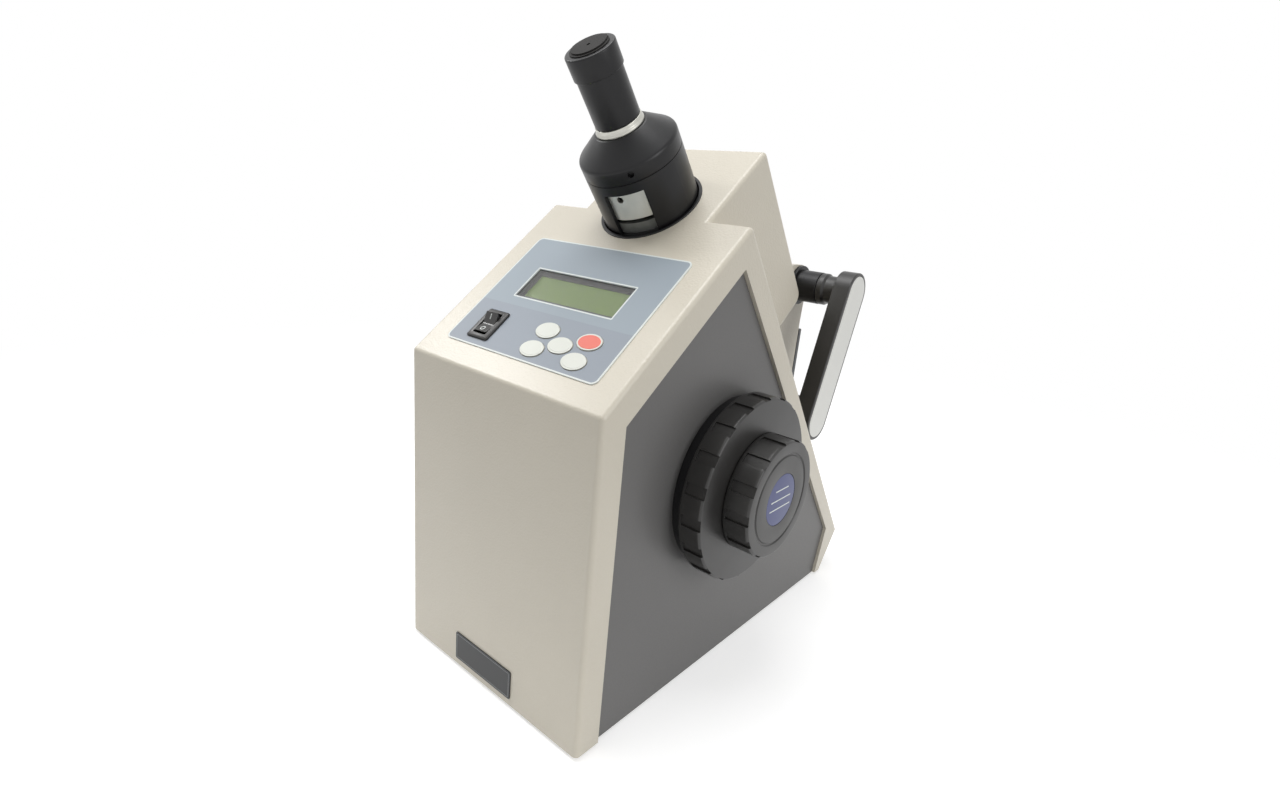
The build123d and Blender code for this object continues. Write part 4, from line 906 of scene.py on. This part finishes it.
class REFRACTOMETER_OT_eyepiece(bpy.types.Operator):
    """Turns the cone, the silver ring, the eye tube and the dust cap of the eyepiece"""

    bl_idname = "refractometer.eyepiece"
    bl_label = "Eyepiece"

    def cone(self, sizes):
        """Dispersion cone with a soft shoulder and a rebate in its foot, and the set screw in its side."""
        rebate = BARREL_IN - PLAY
        bore = SLEEVE_R + PLAY
        inside = BARREL_R - HOOD_WALL
        cone = turned("dispersion_cone", eyepiece, [
            (rebate, HOOD_FOOT), (BARREL_R, HOOD_FOOT, 0.3),
            (BARREL_R, HOOD_SHOULDER, sizes.shoulder_round / MM), (HOOD_NECK, HOOD_TOP, 1.2),
            (bore, HOOD_TOP), (bore, HOOD_TOP - HOOD_BORE), (inside, HOOD_SHOULDER - HOOD_ROOF),
            (inside, HOOD_FOOT + HOOD_REBATE), (rebate, HOOD_FOOT + HOOD_REBATE),
        ])
        side = on_barrel(SCREW_DEG, SCREW_H)
        cone = cut(cone, rod("hole", side, SCREW_HOLE_R, BARREL_R - 2.5, BARREL_R + 3))
        dress(cone, "black_metal", "casing", "black_metal", "barrel_hood")
        head = BARREL_R - SCREW_DOWN
        foot = head - SCREW_LEN
        floor = foot + SCREW_FLOOR
        screw = turned("dispersion_set_screw", side, [
            (0, foot), (SCREW_R, foot), (SCREW_R, head, 0.3), (SCREW_SOCKET_R, head),
            (SCREW_SOCKET_R, floor), (0, floor),
        ], 24)
        dress(screw, "black_metal", "casing", "black_metal")

    def sleeve(self):
        """Sleeve that carries the eye tube, with the silver ring round it."""
        inside = SLEEVE_R - SLEEVE_WALL
        foot, top = HOOD_TOP - SLEEVE_DOWN, SILVER_TOP + SLEEVE_UP
        rim = SILVER_R + SILVER_RIM
        ring = turned("silver_ring", eyepiece, [
            (inside, foot), (SLEEVE_R, foot), (SLEEVE_R, HOOD_TOP + SEAT), (rim, HOOD_TOP + SEAT, 0.3),
            (rim, HOOD_TOP + 1.2, 0.5), (SILVER_R, HOOD_TOP + 2.2, 0.6), (SILVER_R - 0.1, SILVER_TOP, 0.3),
            (SLEEVE_R, SILVER_TOP), (SLEEVE_R, top), (inside, top),
        ])
        dress(ring, "silver_ring", "casing", "silver_ring", "eyepiece_sleeve")

    def tube(self, sizes):
        """Eye tube with the wider eyecup at its end."""
        bore = SLEEVE_R + 0.04
        foot = SILVER_TOP + 0.25
        shelf = CUP_TOP - CUP_DEEP
        tube = turned("eye_tube_and_cup", eyepiece, [
            (bore, foot), (TUBE_R, foot, 0.3), (TUBE_R, CUP_FOOT), (CUP_R, CUP_FOOT, 0.35),
            (CUP_R, CUP_TOP, sizes.cup_round / MM), (CUP_BORE, CUP_TOP, 0.3), (CUP_BORE, shelf),
            (bore, shelf),
        ])
        dress(tube, "black_metal", "eye_tube", "black_metal", "eye_tube")

    def cap(self, sizes):
        """Dust cap: a plug with a rim, whose top has a dimple and a crescent step beside a disc."""
        rim = CUP_BORE + CAP_BRIM
        plug = CUP_BORE - 0.15
        step = CAP_TOP - sizes.cap_step / MM
        cap = turned("eyepiece_dust_cap", eyepiece, [
            (0, CUP_TOP - CAP_PLUG), (plug, CUP_TOP - CAP_PLUG, 0.4), (plug, CUP_TOP + SEAT),
            (rim, CUP_TOP + SEAT), (rim, CAP_TOP, 0.5), (0, CAP_TOP),
        ])
        crescent = turned("crescent", eyepiece, [
            (rim - 1.5, step), (rim + CLEAR, step), (rim + CLEAR, CAP_TOP + CLEAR),
            (rim - 1.5, CAP_TOP + CLEAR),
        ], 96)
        disc = eyepiece.moved(CAP_STEP_SIDE, CAP_STEP_BACK, 0)
        crescent = cut(crescent, rod("hole", disc, CAP_STEP_R, step, CAP_TOP + 2, 96))
        cap = cut(cap, crescent, rod("hole", eyepiece, DIMPLE_R, CAP_TOP - DIMPLE_DEEP, CAP_TOP + 2, 24))
        dress(cap, "black_matt", "dust_cap", "black_plastic", "dust_cap")

    def execute(self, context):
        sizes = context.scene.refractometer_eyepiece
        self.cone(sizes)
        self.sleeve()
        self.tube(sizes)
        self.cap(sizes)
        return {"FINISHED"}


class REFRACTOMETER_OT_handwheels(bpy.types.Operator):
    """Turns both handwheels, sinks the finger hollows into their rims and lays the label disc in"""

    bl_idname = "refractometer.handwheels"
    bl_label = "Handwheels"

    def wheel(self, sizes, kind, shaft, face, grips, first):
        """One handwheel, as large as its CAD node. Its face lists the corners inside its rim."""
        name, node = kind + "_wheel", kind + "_handwheel"
        low, high = extent(node)
        radius = (high.z - low.z) / 2
        piece = gripped(name, wheels, [
            (shaft, low.x), (radius, low.x, 0.8), (radius, low.x + 2.2), (radius, high.x - 2.4),
            (radius, high.x, sizes.rim_round / MM), *face,
        ], radius, low.x + GRIP_FOOT, high.x + CLEAR, grips, sizes.grip_share, sizes.grip_depth / MM, first)
        dress(soften(piece, 0.22), "black_plastic", name, "black_plastic", node)

    def execute(self, context):
        sizes = context.scene.refractometer_wheels
        face = extent("coarse_handwheel")[1].x
        self.wheel(sizes, "coarse", SHAFT_R, [(SHAFT_R, face)], sizes.coarse_grips, COARSE_FIRST)
        ring = sizes.ring_radius / MM
        face = extent("fine_handwheel")[1].x
        floor = face - DISC_DEEP
        self.wheel(sizes, "fine", FINE_SHAFT_R, [
            (ring + 1.0, face, 0.3), (ring + 0.5, face - RING_DEEP, 0.3), (ring - 0.5, face - RING_DEEP, 0.3),
            (ring - 1.0, face, 0.3), (DISC_R + 0.2, face, 0.2), (DISC_R + 0.2, floor), (FINE_SHAFT_R, floor),
        ], sizes.fine_grips, FINE_FIRST)

        top = face - 0.1
        disc = turned("fine_wheel_disc", wheels, [(0, floor), (DISC_R, floor), (DISC_R, top, 0.2), (0, top)])
        dress(disc, "disc_blue", "fine_wheel", "disc_blue", "wheel_disc")
        lines = []
        for across, half in DISC_LINES:
            spot = wheels.moved(0, across, face)
            lines.append(slab("disc_line", spot, 2 * half, 0.8, -0.12, -0.04, 0.35, 4))
        lines = join(*lines)
        lines.name = "disc_lines"
        dress(lines, "white_print", "fine_wheel", "label_film")
        return {"FINISHED"}


class REFRACTOMETER_OT_console(bpy.types.Operator):
    """Prints the label sheet, cuts it out for its parts and fits the dark bezel of the display, which also
    stands in for the shade in its recess (painted shade)
    """

    bl_idname = "refractometer.console"
    bl_label = "Console"

    def sheet(self, sizes):
        """Label sheet with a white edge line, a light rear and a darker front, cut out for its parts."""
        place = console.moved(LABEL_X, LABEL_S, 0)
        piece = laid("console_sheet", place, LABEL_W, LABEL_LEN, 0, LABEL_CORNER)
        for finish in ("white_print", "label_film", "sheet_low"):
            piece.data.materials.append(finishes[finish])
        bpy.ops.mesh.inset(thickness=sizes.border)
        piece.active_material_index = 1
        bpy.ops.object.material_slot_assign()
        bpy.ops.mesh.select_all(action="SELECT")
        bpy.ops.mesh.bisect(plane_co=console.point(0, sizes.zone_up / MM, 0), plane_no=console.y)
        zone = sizes.zone_up / MM - LABEL_S
        edge = sizes.border / MM - 0.05
        pick(place, "FACE", lambda p: (
            p.y < zone + NEAR and abs(p.x) < LABEL_W / 2 - edge and p.y > -LABEL_LEN / 2 + edge))
        piece.active_material_index = 2
        bpy.ops.object.material_slot_assign()
        bpy.ops.mesh.select_all(action="SELECT")
        raised(place, LABEL_T)
        cutters = [
            slab("hole", console.moved(LCD_X, LCD_S, 0), LCD_W - 1, LCD_LEN - 1, -1, 2, 0.8),
            slab("hole", console.moved(SWITCH_X, SWITCH_S, 0), SWITCH_W + CUT_GAP, SWITCH_LEN + CUT_GAP,
                 -1, 2, SWITCH_CORNER),
        ]
        for node in KEYS:
            cutters.append(oval("hole", key_place(node), KEY_ACROSS + CUT_GAP, KEY_ALONG + CUT_GAP, -1, 2))
        return cut(piece, *cutters)

    def display(self, sizes):
        """Dark well with the bezel round the display's glass, whose black also stands in for the shade in the
        recess (painted shade), and the white line printed round the window.
        """
        place = console.moved(LCD_X, LCD_S, 0)
        glass = console.moved(GLASS_X, GLASS_S, 0)
        well_w, well_len = LCD_W - 0.2, LCD_LEN - 0.2
        walls = 2 * WELL_WALL
        well = cut(
            slab("display_well", glass, well_w, well_len, -GLASS_DOWN, -WELL_DOWN, 0.4, 3),
            # the floor of the well stays as a dark bezel over the glass's edge, which stands in for the shade
            # in the recess: painted shade
            slab("hole", glass, well_w - walls, well_len - walls, SHADE_BEZEL_T - GLASS_DOWN, 1, 0.8),
            slab("hole", glass, LCD_W - 2 * SHADE_BEZEL, LCD_LEN - 2 * SHADE_BEZEL, -5, 1, 0.5),
        )
        dress(well, "black_plastic", "casing", "black_plastic")
        line = frame_line("display_line", place, LCD_W + 1.2, LCD_LEN + 1.2, sizes.display_line / MM,
                          LABEL_T, LABEL_T + PRINT_T, 0.9)
        dress(line, "white_print", "casing", "label_film")

    def execute(self, context):
        sizes = context.scene.refractometer_console
        dress(self.sheet(sizes), None, "casing", "label_film", "console_label")
        self.display(sizes)
        return {"FINISHED"}


class REFRACTOMETER_OT_keys(bpy.types.Operator):
    """Moulds a push key and sets its copies into the label sheet, the red one with its pale rim"""

    bl_idname = "refractometer.keys"
    bl_label = "Push keys"

    def execute(self, context):
        top = LABEL_T + KEY_PROUD
        first = key_place(KEYS[0])
        key = oval("push_" + KEYS[0], first, KEY_ACROSS, KEY_ALONG, top - KEY_T, top)
        bpy.ops.object.mode_set(mode="EDIT")
        pick(first, "FACE", lambda p: p.z < top - KEY_T + NEAR)
        bpy.ops.mesh.inset(thickness=KEY_RIM * MM)
        bpy.ops.mesh.extrude_region_move(TRANSFORM_OT_translate={"value": first.along(0, 0, -KEY_STEM)})
        pick(first, "FACE", lambda p: p.z > top - NEAR)
        bpy.ops.mesh.inset(thickness=KEY_RIM * MM)
        bpy.ops.mesh.inset(thickness=KEY_STEP_W * MM, depth=KEY_STEP * MM)
        close_piece()
        key = soften(key, 0.1)
        for node in KEYS[1:]:
            copy = copied(key, "push_" + node, key_place(node).origin - first.origin)
            dress(copy, "key_white", node, "key_white", node)
        dress(key, "key_white", KEYS[0], "key_white", KEYS[0])

        red = bpy.data.objects["push_" + RED_KEY]
        red.data.materials.append(finishes["key_red"])
        place = key_place(RED_KEY)
        for face in red.data.polygons:
            spot = place.local(face.center)
            away = math.hypot(spot.x / (KEY_ACROSS - KEY_RIM), spot.y / (KEY_ALONG - KEY_RIM))
            face.material_index = int(away < 0.99)
        return {"FINISHED"}


class REFRACTOMETER_OT_power_switch(bpy.types.Operator):
    """Makes the chamfered frame of the power switch, its bent rocker and the on and off marks"""

    bl_idname = "refractometer.power_switch"
    bl_label = "Power switch"

    def mark_place(self, along):
        """Place on the bent top of the rocker, at a distance along it, with its y axis up that half."""
        rise = (ROCKER_RISE - ROCKER_DISH) / ROCKER_HALF
        turn = math.atan(math.copysign(rise, along))
        back = rocker_side.x * math.cos(turn) + rocker_side.z * math.sin(turn)
        top = rocker_side.point(along, 0, ROCKER_DISH + rise * abs(along))
        return Place(top, ACROSS, back, Vector(ACROSS).cross(back))

    def surround(self, chamfer):
        """Frame with rounded corners and a chamfered edge, on the shaft that the rocker sits in."""
        place = console.moved(SWITCH_X, SWITCH_S, 0)
        side, end, rim = SWITCH_W / 2, SWITCH_LEN / 2, SWITCH_PROUD - SWITCH_SLOPE
        upper = pulled("switch_upper", place, [(-side, 0), (side, 0), (side, rim), (-side, rim)], -end, end)
        bpy.ops.object.mode_set(mode="EDIT")
        pick(place, "EDGE", lambda p: abs(p.x) > side - NEAR and abs(p.y) > end - NEAR)
        bpy.ops.mesh.bevel(offset=SWITCH_CORNER * MM, segments=5)
        pick(place, "FACE", lambda p: p.z > rim - NEAR)
        bpy.ops.mesh.inset(thickness=chamfer * MM)
        bpy.ops.transform.translate(value=place.along(0, 0, SWITCH_SLOPE))
        close_piece()
        hole = console.moved(ROCKER_X, SWITCH_S, 0)
        lower = slab("switch_lower", hole, ROCKER_W + 3.0, SWITCH_LEN - 3.9, -SWITCH_DEEP, 0.1, 0.4, 2)
        shaft = slab("hole", hole, ROCKER_W + 0.8, 2 * ROCKER_HALF + 3.0, -SWITCH_DEEP + 2, 4, 0.6, 3)
        piece = soften(cut(join(upper, lower), shaft, joined=True), 0.18)
        piece.name = "switch_surround"
        dress(piece, "black_plastic", "casing", "black_plastic", "switch_frame")

    def execute(self, context):
        sizes = context.scene.refractometer_console
        self.surround(sizes.switch_chamfer / MM)
        foot = ROCKER_HALF - 1.6
        rocker = pulled("rocker", rocker_side, [
            (-ROCKER_HALF, ROCKER_RISE), (0, ROCKER_DISH, 2.5), (ROCKER_HALF, ROCKER_RISE),
            (foot, -ROCKER_SIDE), (0, -ROCKER_DEEP, 2.0), (-foot, -ROCKER_SIDE),
        ], -ROCKER_W / 2, ROCKER_W / 2)
        rocker = soften(rocker, 0.35, 3)
        dress(rocker, "black_gloss", "power_rocker", "black_plastic", "power_rocker")

        line = sizes.mark_line / MM
        on_mark = slab("on_mark", self.mark_place(ROCKER_HALF * 0.62), line, MARK_LEN, -0.06, 0.03, 0.2, 3)
        dress(on_mark, "white_print", "power_rocker", "label_film")
        off_mark = turned("off_mark", self.mark_place(-ROCKER_HALF * 0.6), [
            (MARK_R - line, -0.06), (MARK_R, -0.06), (MARK_R, 0.04), (MARK_R - line, 0.04),
        ], 48)
        dress(off_mark, "white_print", "power_rocker", "label_film")
        return {"FINISHED"}


class REFRACTOMETER_OT_lamp_arm(bpy.types.Operator):
    """Shapes the lamp arm with its neck, sinks the pocket into its face and lays the white inlay in"""

    bl_idname = "refractometer.lamp_arm"
    bl_label = "Lamp arm"

    def execute(self, context):
        sizes = context.scene.refractometer_arm
        low, high = extent("lamp_arm")
        inlay_top = extent("arm_inlay")[1].x
        radius = ARM_R - sizes.inlay_border / MM
        floor = high.x - sizes.inlay_depth / MM
        back = high.x - ARM_T
        bar = pulled("lamp_arm_bar", arm_side, stadium(arm_length, ARM_R), back, high.x)
        bar = soften(bar, sizes.edge_round / MM, 3)
        bar = cut(bar, pulled("hole", arm_side, stadium(arm_length, radius), floor, high.x + 2))
        hub = HUB_X + HUB_LEN
        flare = NECK_R + 2.0
        neck = turned("neck", arm, [
            (0, low.x), (PIVOT_SHAFT_R, low.x, 0.4), (PIVOT_SHAFT_R, HUB_X), (HUB_R, HUB_X, 0.6),
            (HUB_R, hub, 0.8), (NECK_R, hub + 1.8, 0.8), (NECK_R, back - 2.4, 1.0),
            (flare, back - 0.4, 0.5), (flare, back + 0.4), (0, back + 0.4),
        ])
        dress(join(bar, neck), "black_satin", "lamp_arm", "black_plastic", "lamp_arm")

        inlay = pulled("arm_face_inlay", arm_side, stadium(arm_length, radius - 0.12), floor, inlay_top)
        inlay = soften(inlay, 0.15)
        dress(inlay, "white_inlay", "lamp_arm", "white_inlay", "arm_inlay")
        return {"FINISHED"}


class REFRACTOMETER_OT_nameplate(bpy.types.Operator):
    """Fixes the bare dark plate low on the front, with a thin line round its edge"""

    bl_idname = "refractometer.nameplate"
    bl_label = "Bare nameplate"

    def execute(self, context):
        low, high = extent("nameplate")
        place = front.moved((low.x + high.x) / 2 - front.origin.x / MM, (low.z + high.z) / 2, 0)
        proud = case_low.y - low.y
        width, height = high.x - low.x, high.z - low.z
        plate = soften(slab("front_plate", place, width, height, 0, proud - PRINT_T, 1.0, 4), 0.12)
        dress(plate, "plate", "casing", "dark_plate", "nameplate")
        line = frame_line("front_plate_line", place, width - 2.2, height - 2.2, 0.3, proud - 0.06, proud, 0.8)
        dress(line, "plate_line", "casing", "dark_plate")
        return {"FINISHED"}


class REFRACTOMETER_OT_rear(bpy.types.Operator):
    """Turns the knurled lifting knob and makes the mains inlet and the serial socket with their contacts"""

    bl_idname = "refractometer.rear"
    bl_label = "Rear knob and sockets"

    def inlet(self):
        """Moulded mains inlet: a flange, a well with two cut corners, and three bare metal blades in it."""
        place = sockets.moved(*INLET, 0)
        flange = soften(slab("socket_bodies", place, INLET_W, INLET_H, 0, INLET_T, 4.0), 0.35)
        box = slab("inlet_box", place, INLET_W - 10.4, INLET_H - 4.4, -INLET_DEEP, 0.1, 0.5, 2)
        half, tall = INLET_WELL_W / 2, INLET_WELL_H / 2
        shoulder, brow = half - INLET_CUT, tall - INLET_CUT
        well = pulled("hole", Place(place.origin, place.x, place.z, place.y), [
            (-half, -tall, 0.8), (half, -tall, 0.8), (half, brow), (shoulder, tall), (-shoulder, tall),
            (-half, brow),
        ], -INLET_WELL, INLET_T + CLEAR)
        body = cut(join(flange, box), well, joined=True)
        first = place.moved(*INLET_BLADES[0], 0)
        blade = slab("inlet_blade", first, BLADE_T, BLADE_W, -INLET_WELL - 1, -1.0, 0.2, 2)
        blades = [soften(blade, 0.25)]
        for across, up in INLET_BLADES[1:]:
            blades.append(copied(blade, "inlet_blade", place.point(across, up, 0) - first.origin))
        blades = join(*blades)
        blades.name = "inlet_blades"
        dress(blades, "nickel", "casing", "black_plastic")
        return body

    def serial(self):
        """Plated flange and shell of the serial socket, and its insert with two rows of holes."""
        place = sockets.moved(*SERIAL, 0)
        plate = soften(slab("serial_shell", place, SERIAL_W, SERIAL_H, 0, SERIAL_T, 1.5, 4), 0.2)
        shell = slab("shell", place, SHELL_W, SHELL_H, SERIAL_T - 0.4, SERIAL_PROUD, 2.0, 6)
        inner_w, inner_h = SHELL_W - 2 * SHELL_T, SHELL_H - 2 * SHELL_T
        for piece in (plate, shell):
            cut(piece, slab("hole", place, inner_w, inner_h, -1, SERIAL_PROUD + CLEAR, 1.4, 6))
        for side in (-SERIAL_SCREW, SERIAL_SCREW):
            cut(plate, rod("hole", place.moved(side, 0, 0), SERIAL_SCREW_R, -1, SERIAL_T + CLEAR, 24))
        dress(join(plate, shell), "nickel", "casing", "black_plastic")
        insert = slab("serial_insert", place, inner_w, inner_h, -SERIAL_DEEP, SERIAL_INSERT, 1.4, 6)
        drills = []
        for row, count in SERIAL_ROWS:
            for i in range(count):
                spot = place.moved((i - (count - 1) / 2) * SERIAL_PITCH, row, 0)
                drills.append(rod("hole", spot, SERIAL_PIN_R, -2, 4, 12))
        return cut(insert, join(*drills))

    def execute(self, context):
        radius = (knob_high.x - knob_low.x) / 2
        reach = knob_high.y - knob_low.y
        dish = reach - KNOB_DISH
        piece = gripped("lifting_knob", knob, [
            (0, 0), (KNOB_STEM_R, 0), (KNOB_STEM_R, KNOB_FOOT), (radius, KNOB_FOOT, 0.6), (radius, 4.4),
            (radius, reach - 1.6), (radius, reach, 0.9), (radius - 2.2, reach, 0.3),
            (radius - 2.8, dish, 0.3), (0, dish),
        ], radius, KNOB_FOOT + 1, reach + CLEAR, KNOB_GRIPS, 0.5, 0.45)
        dress(piece, "bare_aluminium", "prism_lid", "bare_aluminium", "lid_knob")
        dress(join(self.inlet(), self.serial()), "black_plastic", "casing", "black_plastic", "rear_sockets")
        return {"FINISHED"}


class REFRACTOMETER_OT_stage(bpy.types.Operator):
    """Lays the floor, hangs the lamps and sets the camera where the photograph was taken"""

    bl_idname = "refractometer.stage"
    bl_label = "Stage"

    def seen(self, tree):
        """One for rays that the camera sees, straight, mirrored or through glass, and nought for others."""
        paths = add(tree, "LightPath").outputs
        return greatest(tree, paths["Is Camera Ray"], paths["Is Glossy Ray"], paths["Is Transmission Ray"])

    def floor(self):
        """White paper sweep: it takes shadows under the instrument and fades to pure white round it."""
        deselect()
        bpy.ops.mesh.primitive_plane_add(size=FLOOR_SIZE)
        floor = bpy.context.object
        floor.name = "floor"
        material, tree, spot = begin_material("white_paper_sweep")
        seen = self.seen(tree)
        away = add(tree, "VectorMath", {0: spot}, operation="LENGTH")
        far = add(tree, "MapRange", {
            "Value": away.outputs["Value"], "From Min": FLOOR_NEAR, "From Max": FLOOR_FAR,
        }, interpolation_type="SMOOTHSTEP")
        paper = add(tree, "BsdfDiffuse", {"Color": (FLOOR_SHADE,) * 3})
        lift = add(tree, "Math", {0: seen, 1: FLOOR_LIFT}, operation="MULTIPLY")
        glow = add(tree, "Emission", {"Strength": lift.outputs[0]})
        near_floor = add(tree, "AddShader", {0: paper.outputs[0], 1: glow.outputs[0]})
        far_floor = add(tree, "Emission", {"Strength": seen})
        end_material(material, tree, "MixShader", {
            "Fac": far.outputs[0], 1: near_floor.outputs[0], 2: far_floor.outputs[0]})
        floor.data.materials.append(material)

    def world(self, scene):
        """Studio of white light, pure white to the camera and dimmer to what it lights."""
        scene.world = bpy.data.worlds.new("studio")
        tree = emptied(scene.world)
        level = between(tree, self.seen(tree), WORLD_LEVEL, 1.0)
        back = add(tree, "Background", {"Color": (1, 1, 1), "Strength": level})
        add(tree, "OutputWorld", {"Surface": back.outputs[0]})

    def lamps(self):
        """Softboxes, each turned to the middle of the instrument."""
        for name, place, size, power in LAMPS:
            deselect()
            bpy.ops.object.light_add(type="AREA", location=place)
            light = bpy.context.object
            light.name = name
            light.data.size = size
            light.data.energy = power
            light.rotation_euler = (Vector(LAMP_TARGET) - Vector(place)).to_track_quat("-Z", "Y").to_euler()

    def camera(self, scene):
        """Camera at the place from which the photograph was taken."""
        data = bpy.data.cameras.new("camera")
        data.lens = LENS
        data.sensor_width = SENSOR
        data.clip_start = CAMERA_NEAR
        right = Vector(CAMERA_RIGHT).normalized()
        upward = Vector(CAMERA_UP)
        upward = (upward - right * upward.dot(right)).normalized()
        turn = Matrix((right, upward, right.cross(upward))).transposed()
        scene.camera = bpy.data.objects.new("camera", data)
        scene.collection.objects.link(scene.camera)
        scene.camera.matrix_world = Matrix.Translation(Vector(CAMERA_SPOT)) @ turn.to_4x4()

    def execute(self, context):
        scene = context.scene
        self.floor()
        self.world(scene)
        self.lamps()
        self.camera(scene)
        scene.view_settings.view_transform = "Standard"
        return {"FINISHED"}


# ---------------------------------------------------------------- panel, registration and run
class REFRACTOMETER_PT_sidebar(bpy.types.Panel):
    """Lists the steps and the sizes in the sidebar"""

    bl_label = "Refractometer"
    bl_space_type = "VIEW_3D"
    bl_region_type = "UI"
    bl_category = "Refractometer"

    def draw(self, context):
        for step in STEPS:
            self.layout.operator(step.bl_idname)
        for name, group in GROUPS.items():
            box = self.layout.box()
            box.label(text=group.__doc__)
            settings = getattr(context.scene, name)
            for prop in group.__annotations__:
                box.prop(settings, prop)


GROUPS = {
    "refractometer_colours": Colours,
    "refractometer_eyepiece": EyepieceSizes,
    "refractometer_wheels": WheelSizes,
    "refractometer_console": ConsoleSizes,
    "refractometer_arm": ArmSizes,
}
STEPS = (
    REFRACTOMETER_OT_finishes,
    REFRACTOMETER_OT_eyepiece,
    REFRACTOMETER_OT_handwheels,
    REFRACTOMETER_OT_console,
    REFRACTOMETER_OT_keys,
    REFRACTOMETER_OT_power_switch,
    REFRACTOMETER_OT_lamp_arm,
    REFRACTOMETER_OT_nameplate,
    REFRACTOMETER_OT_rear,
    REFRACTOMETER_OT_stage,
)


def register():
    for group in GROUPS.values():
        bpy.utils.register_class(group)
    for name, group in GROUPS.items():
        setattr(bpy.types.Scene, name, PointerProperty(type=group))
    for step in STEPS:
        bpy.utils.register_class(step)
    bpy.utils.register_class(REFRACTOMETER_PT_sidebar)


def unregister():
    bpy.utils.unregister_class(REFRACTOMETER_PT_sidebar)
    for step in reversed(STEPS):
        bpy.utils.unregister_class(step)
    for name in GROUPS:
        delattr(bpy.types.Scene, name)
    for group in GROUPS.values():
        bpy.utils.unregister_class(group)


def main():
    register()
    for step in STEPS:
        section, name = step.bl_idname.split(".")
        getattr(getattr(bpy.ops, section), name)()


if __name__ == "__main__":
    main()
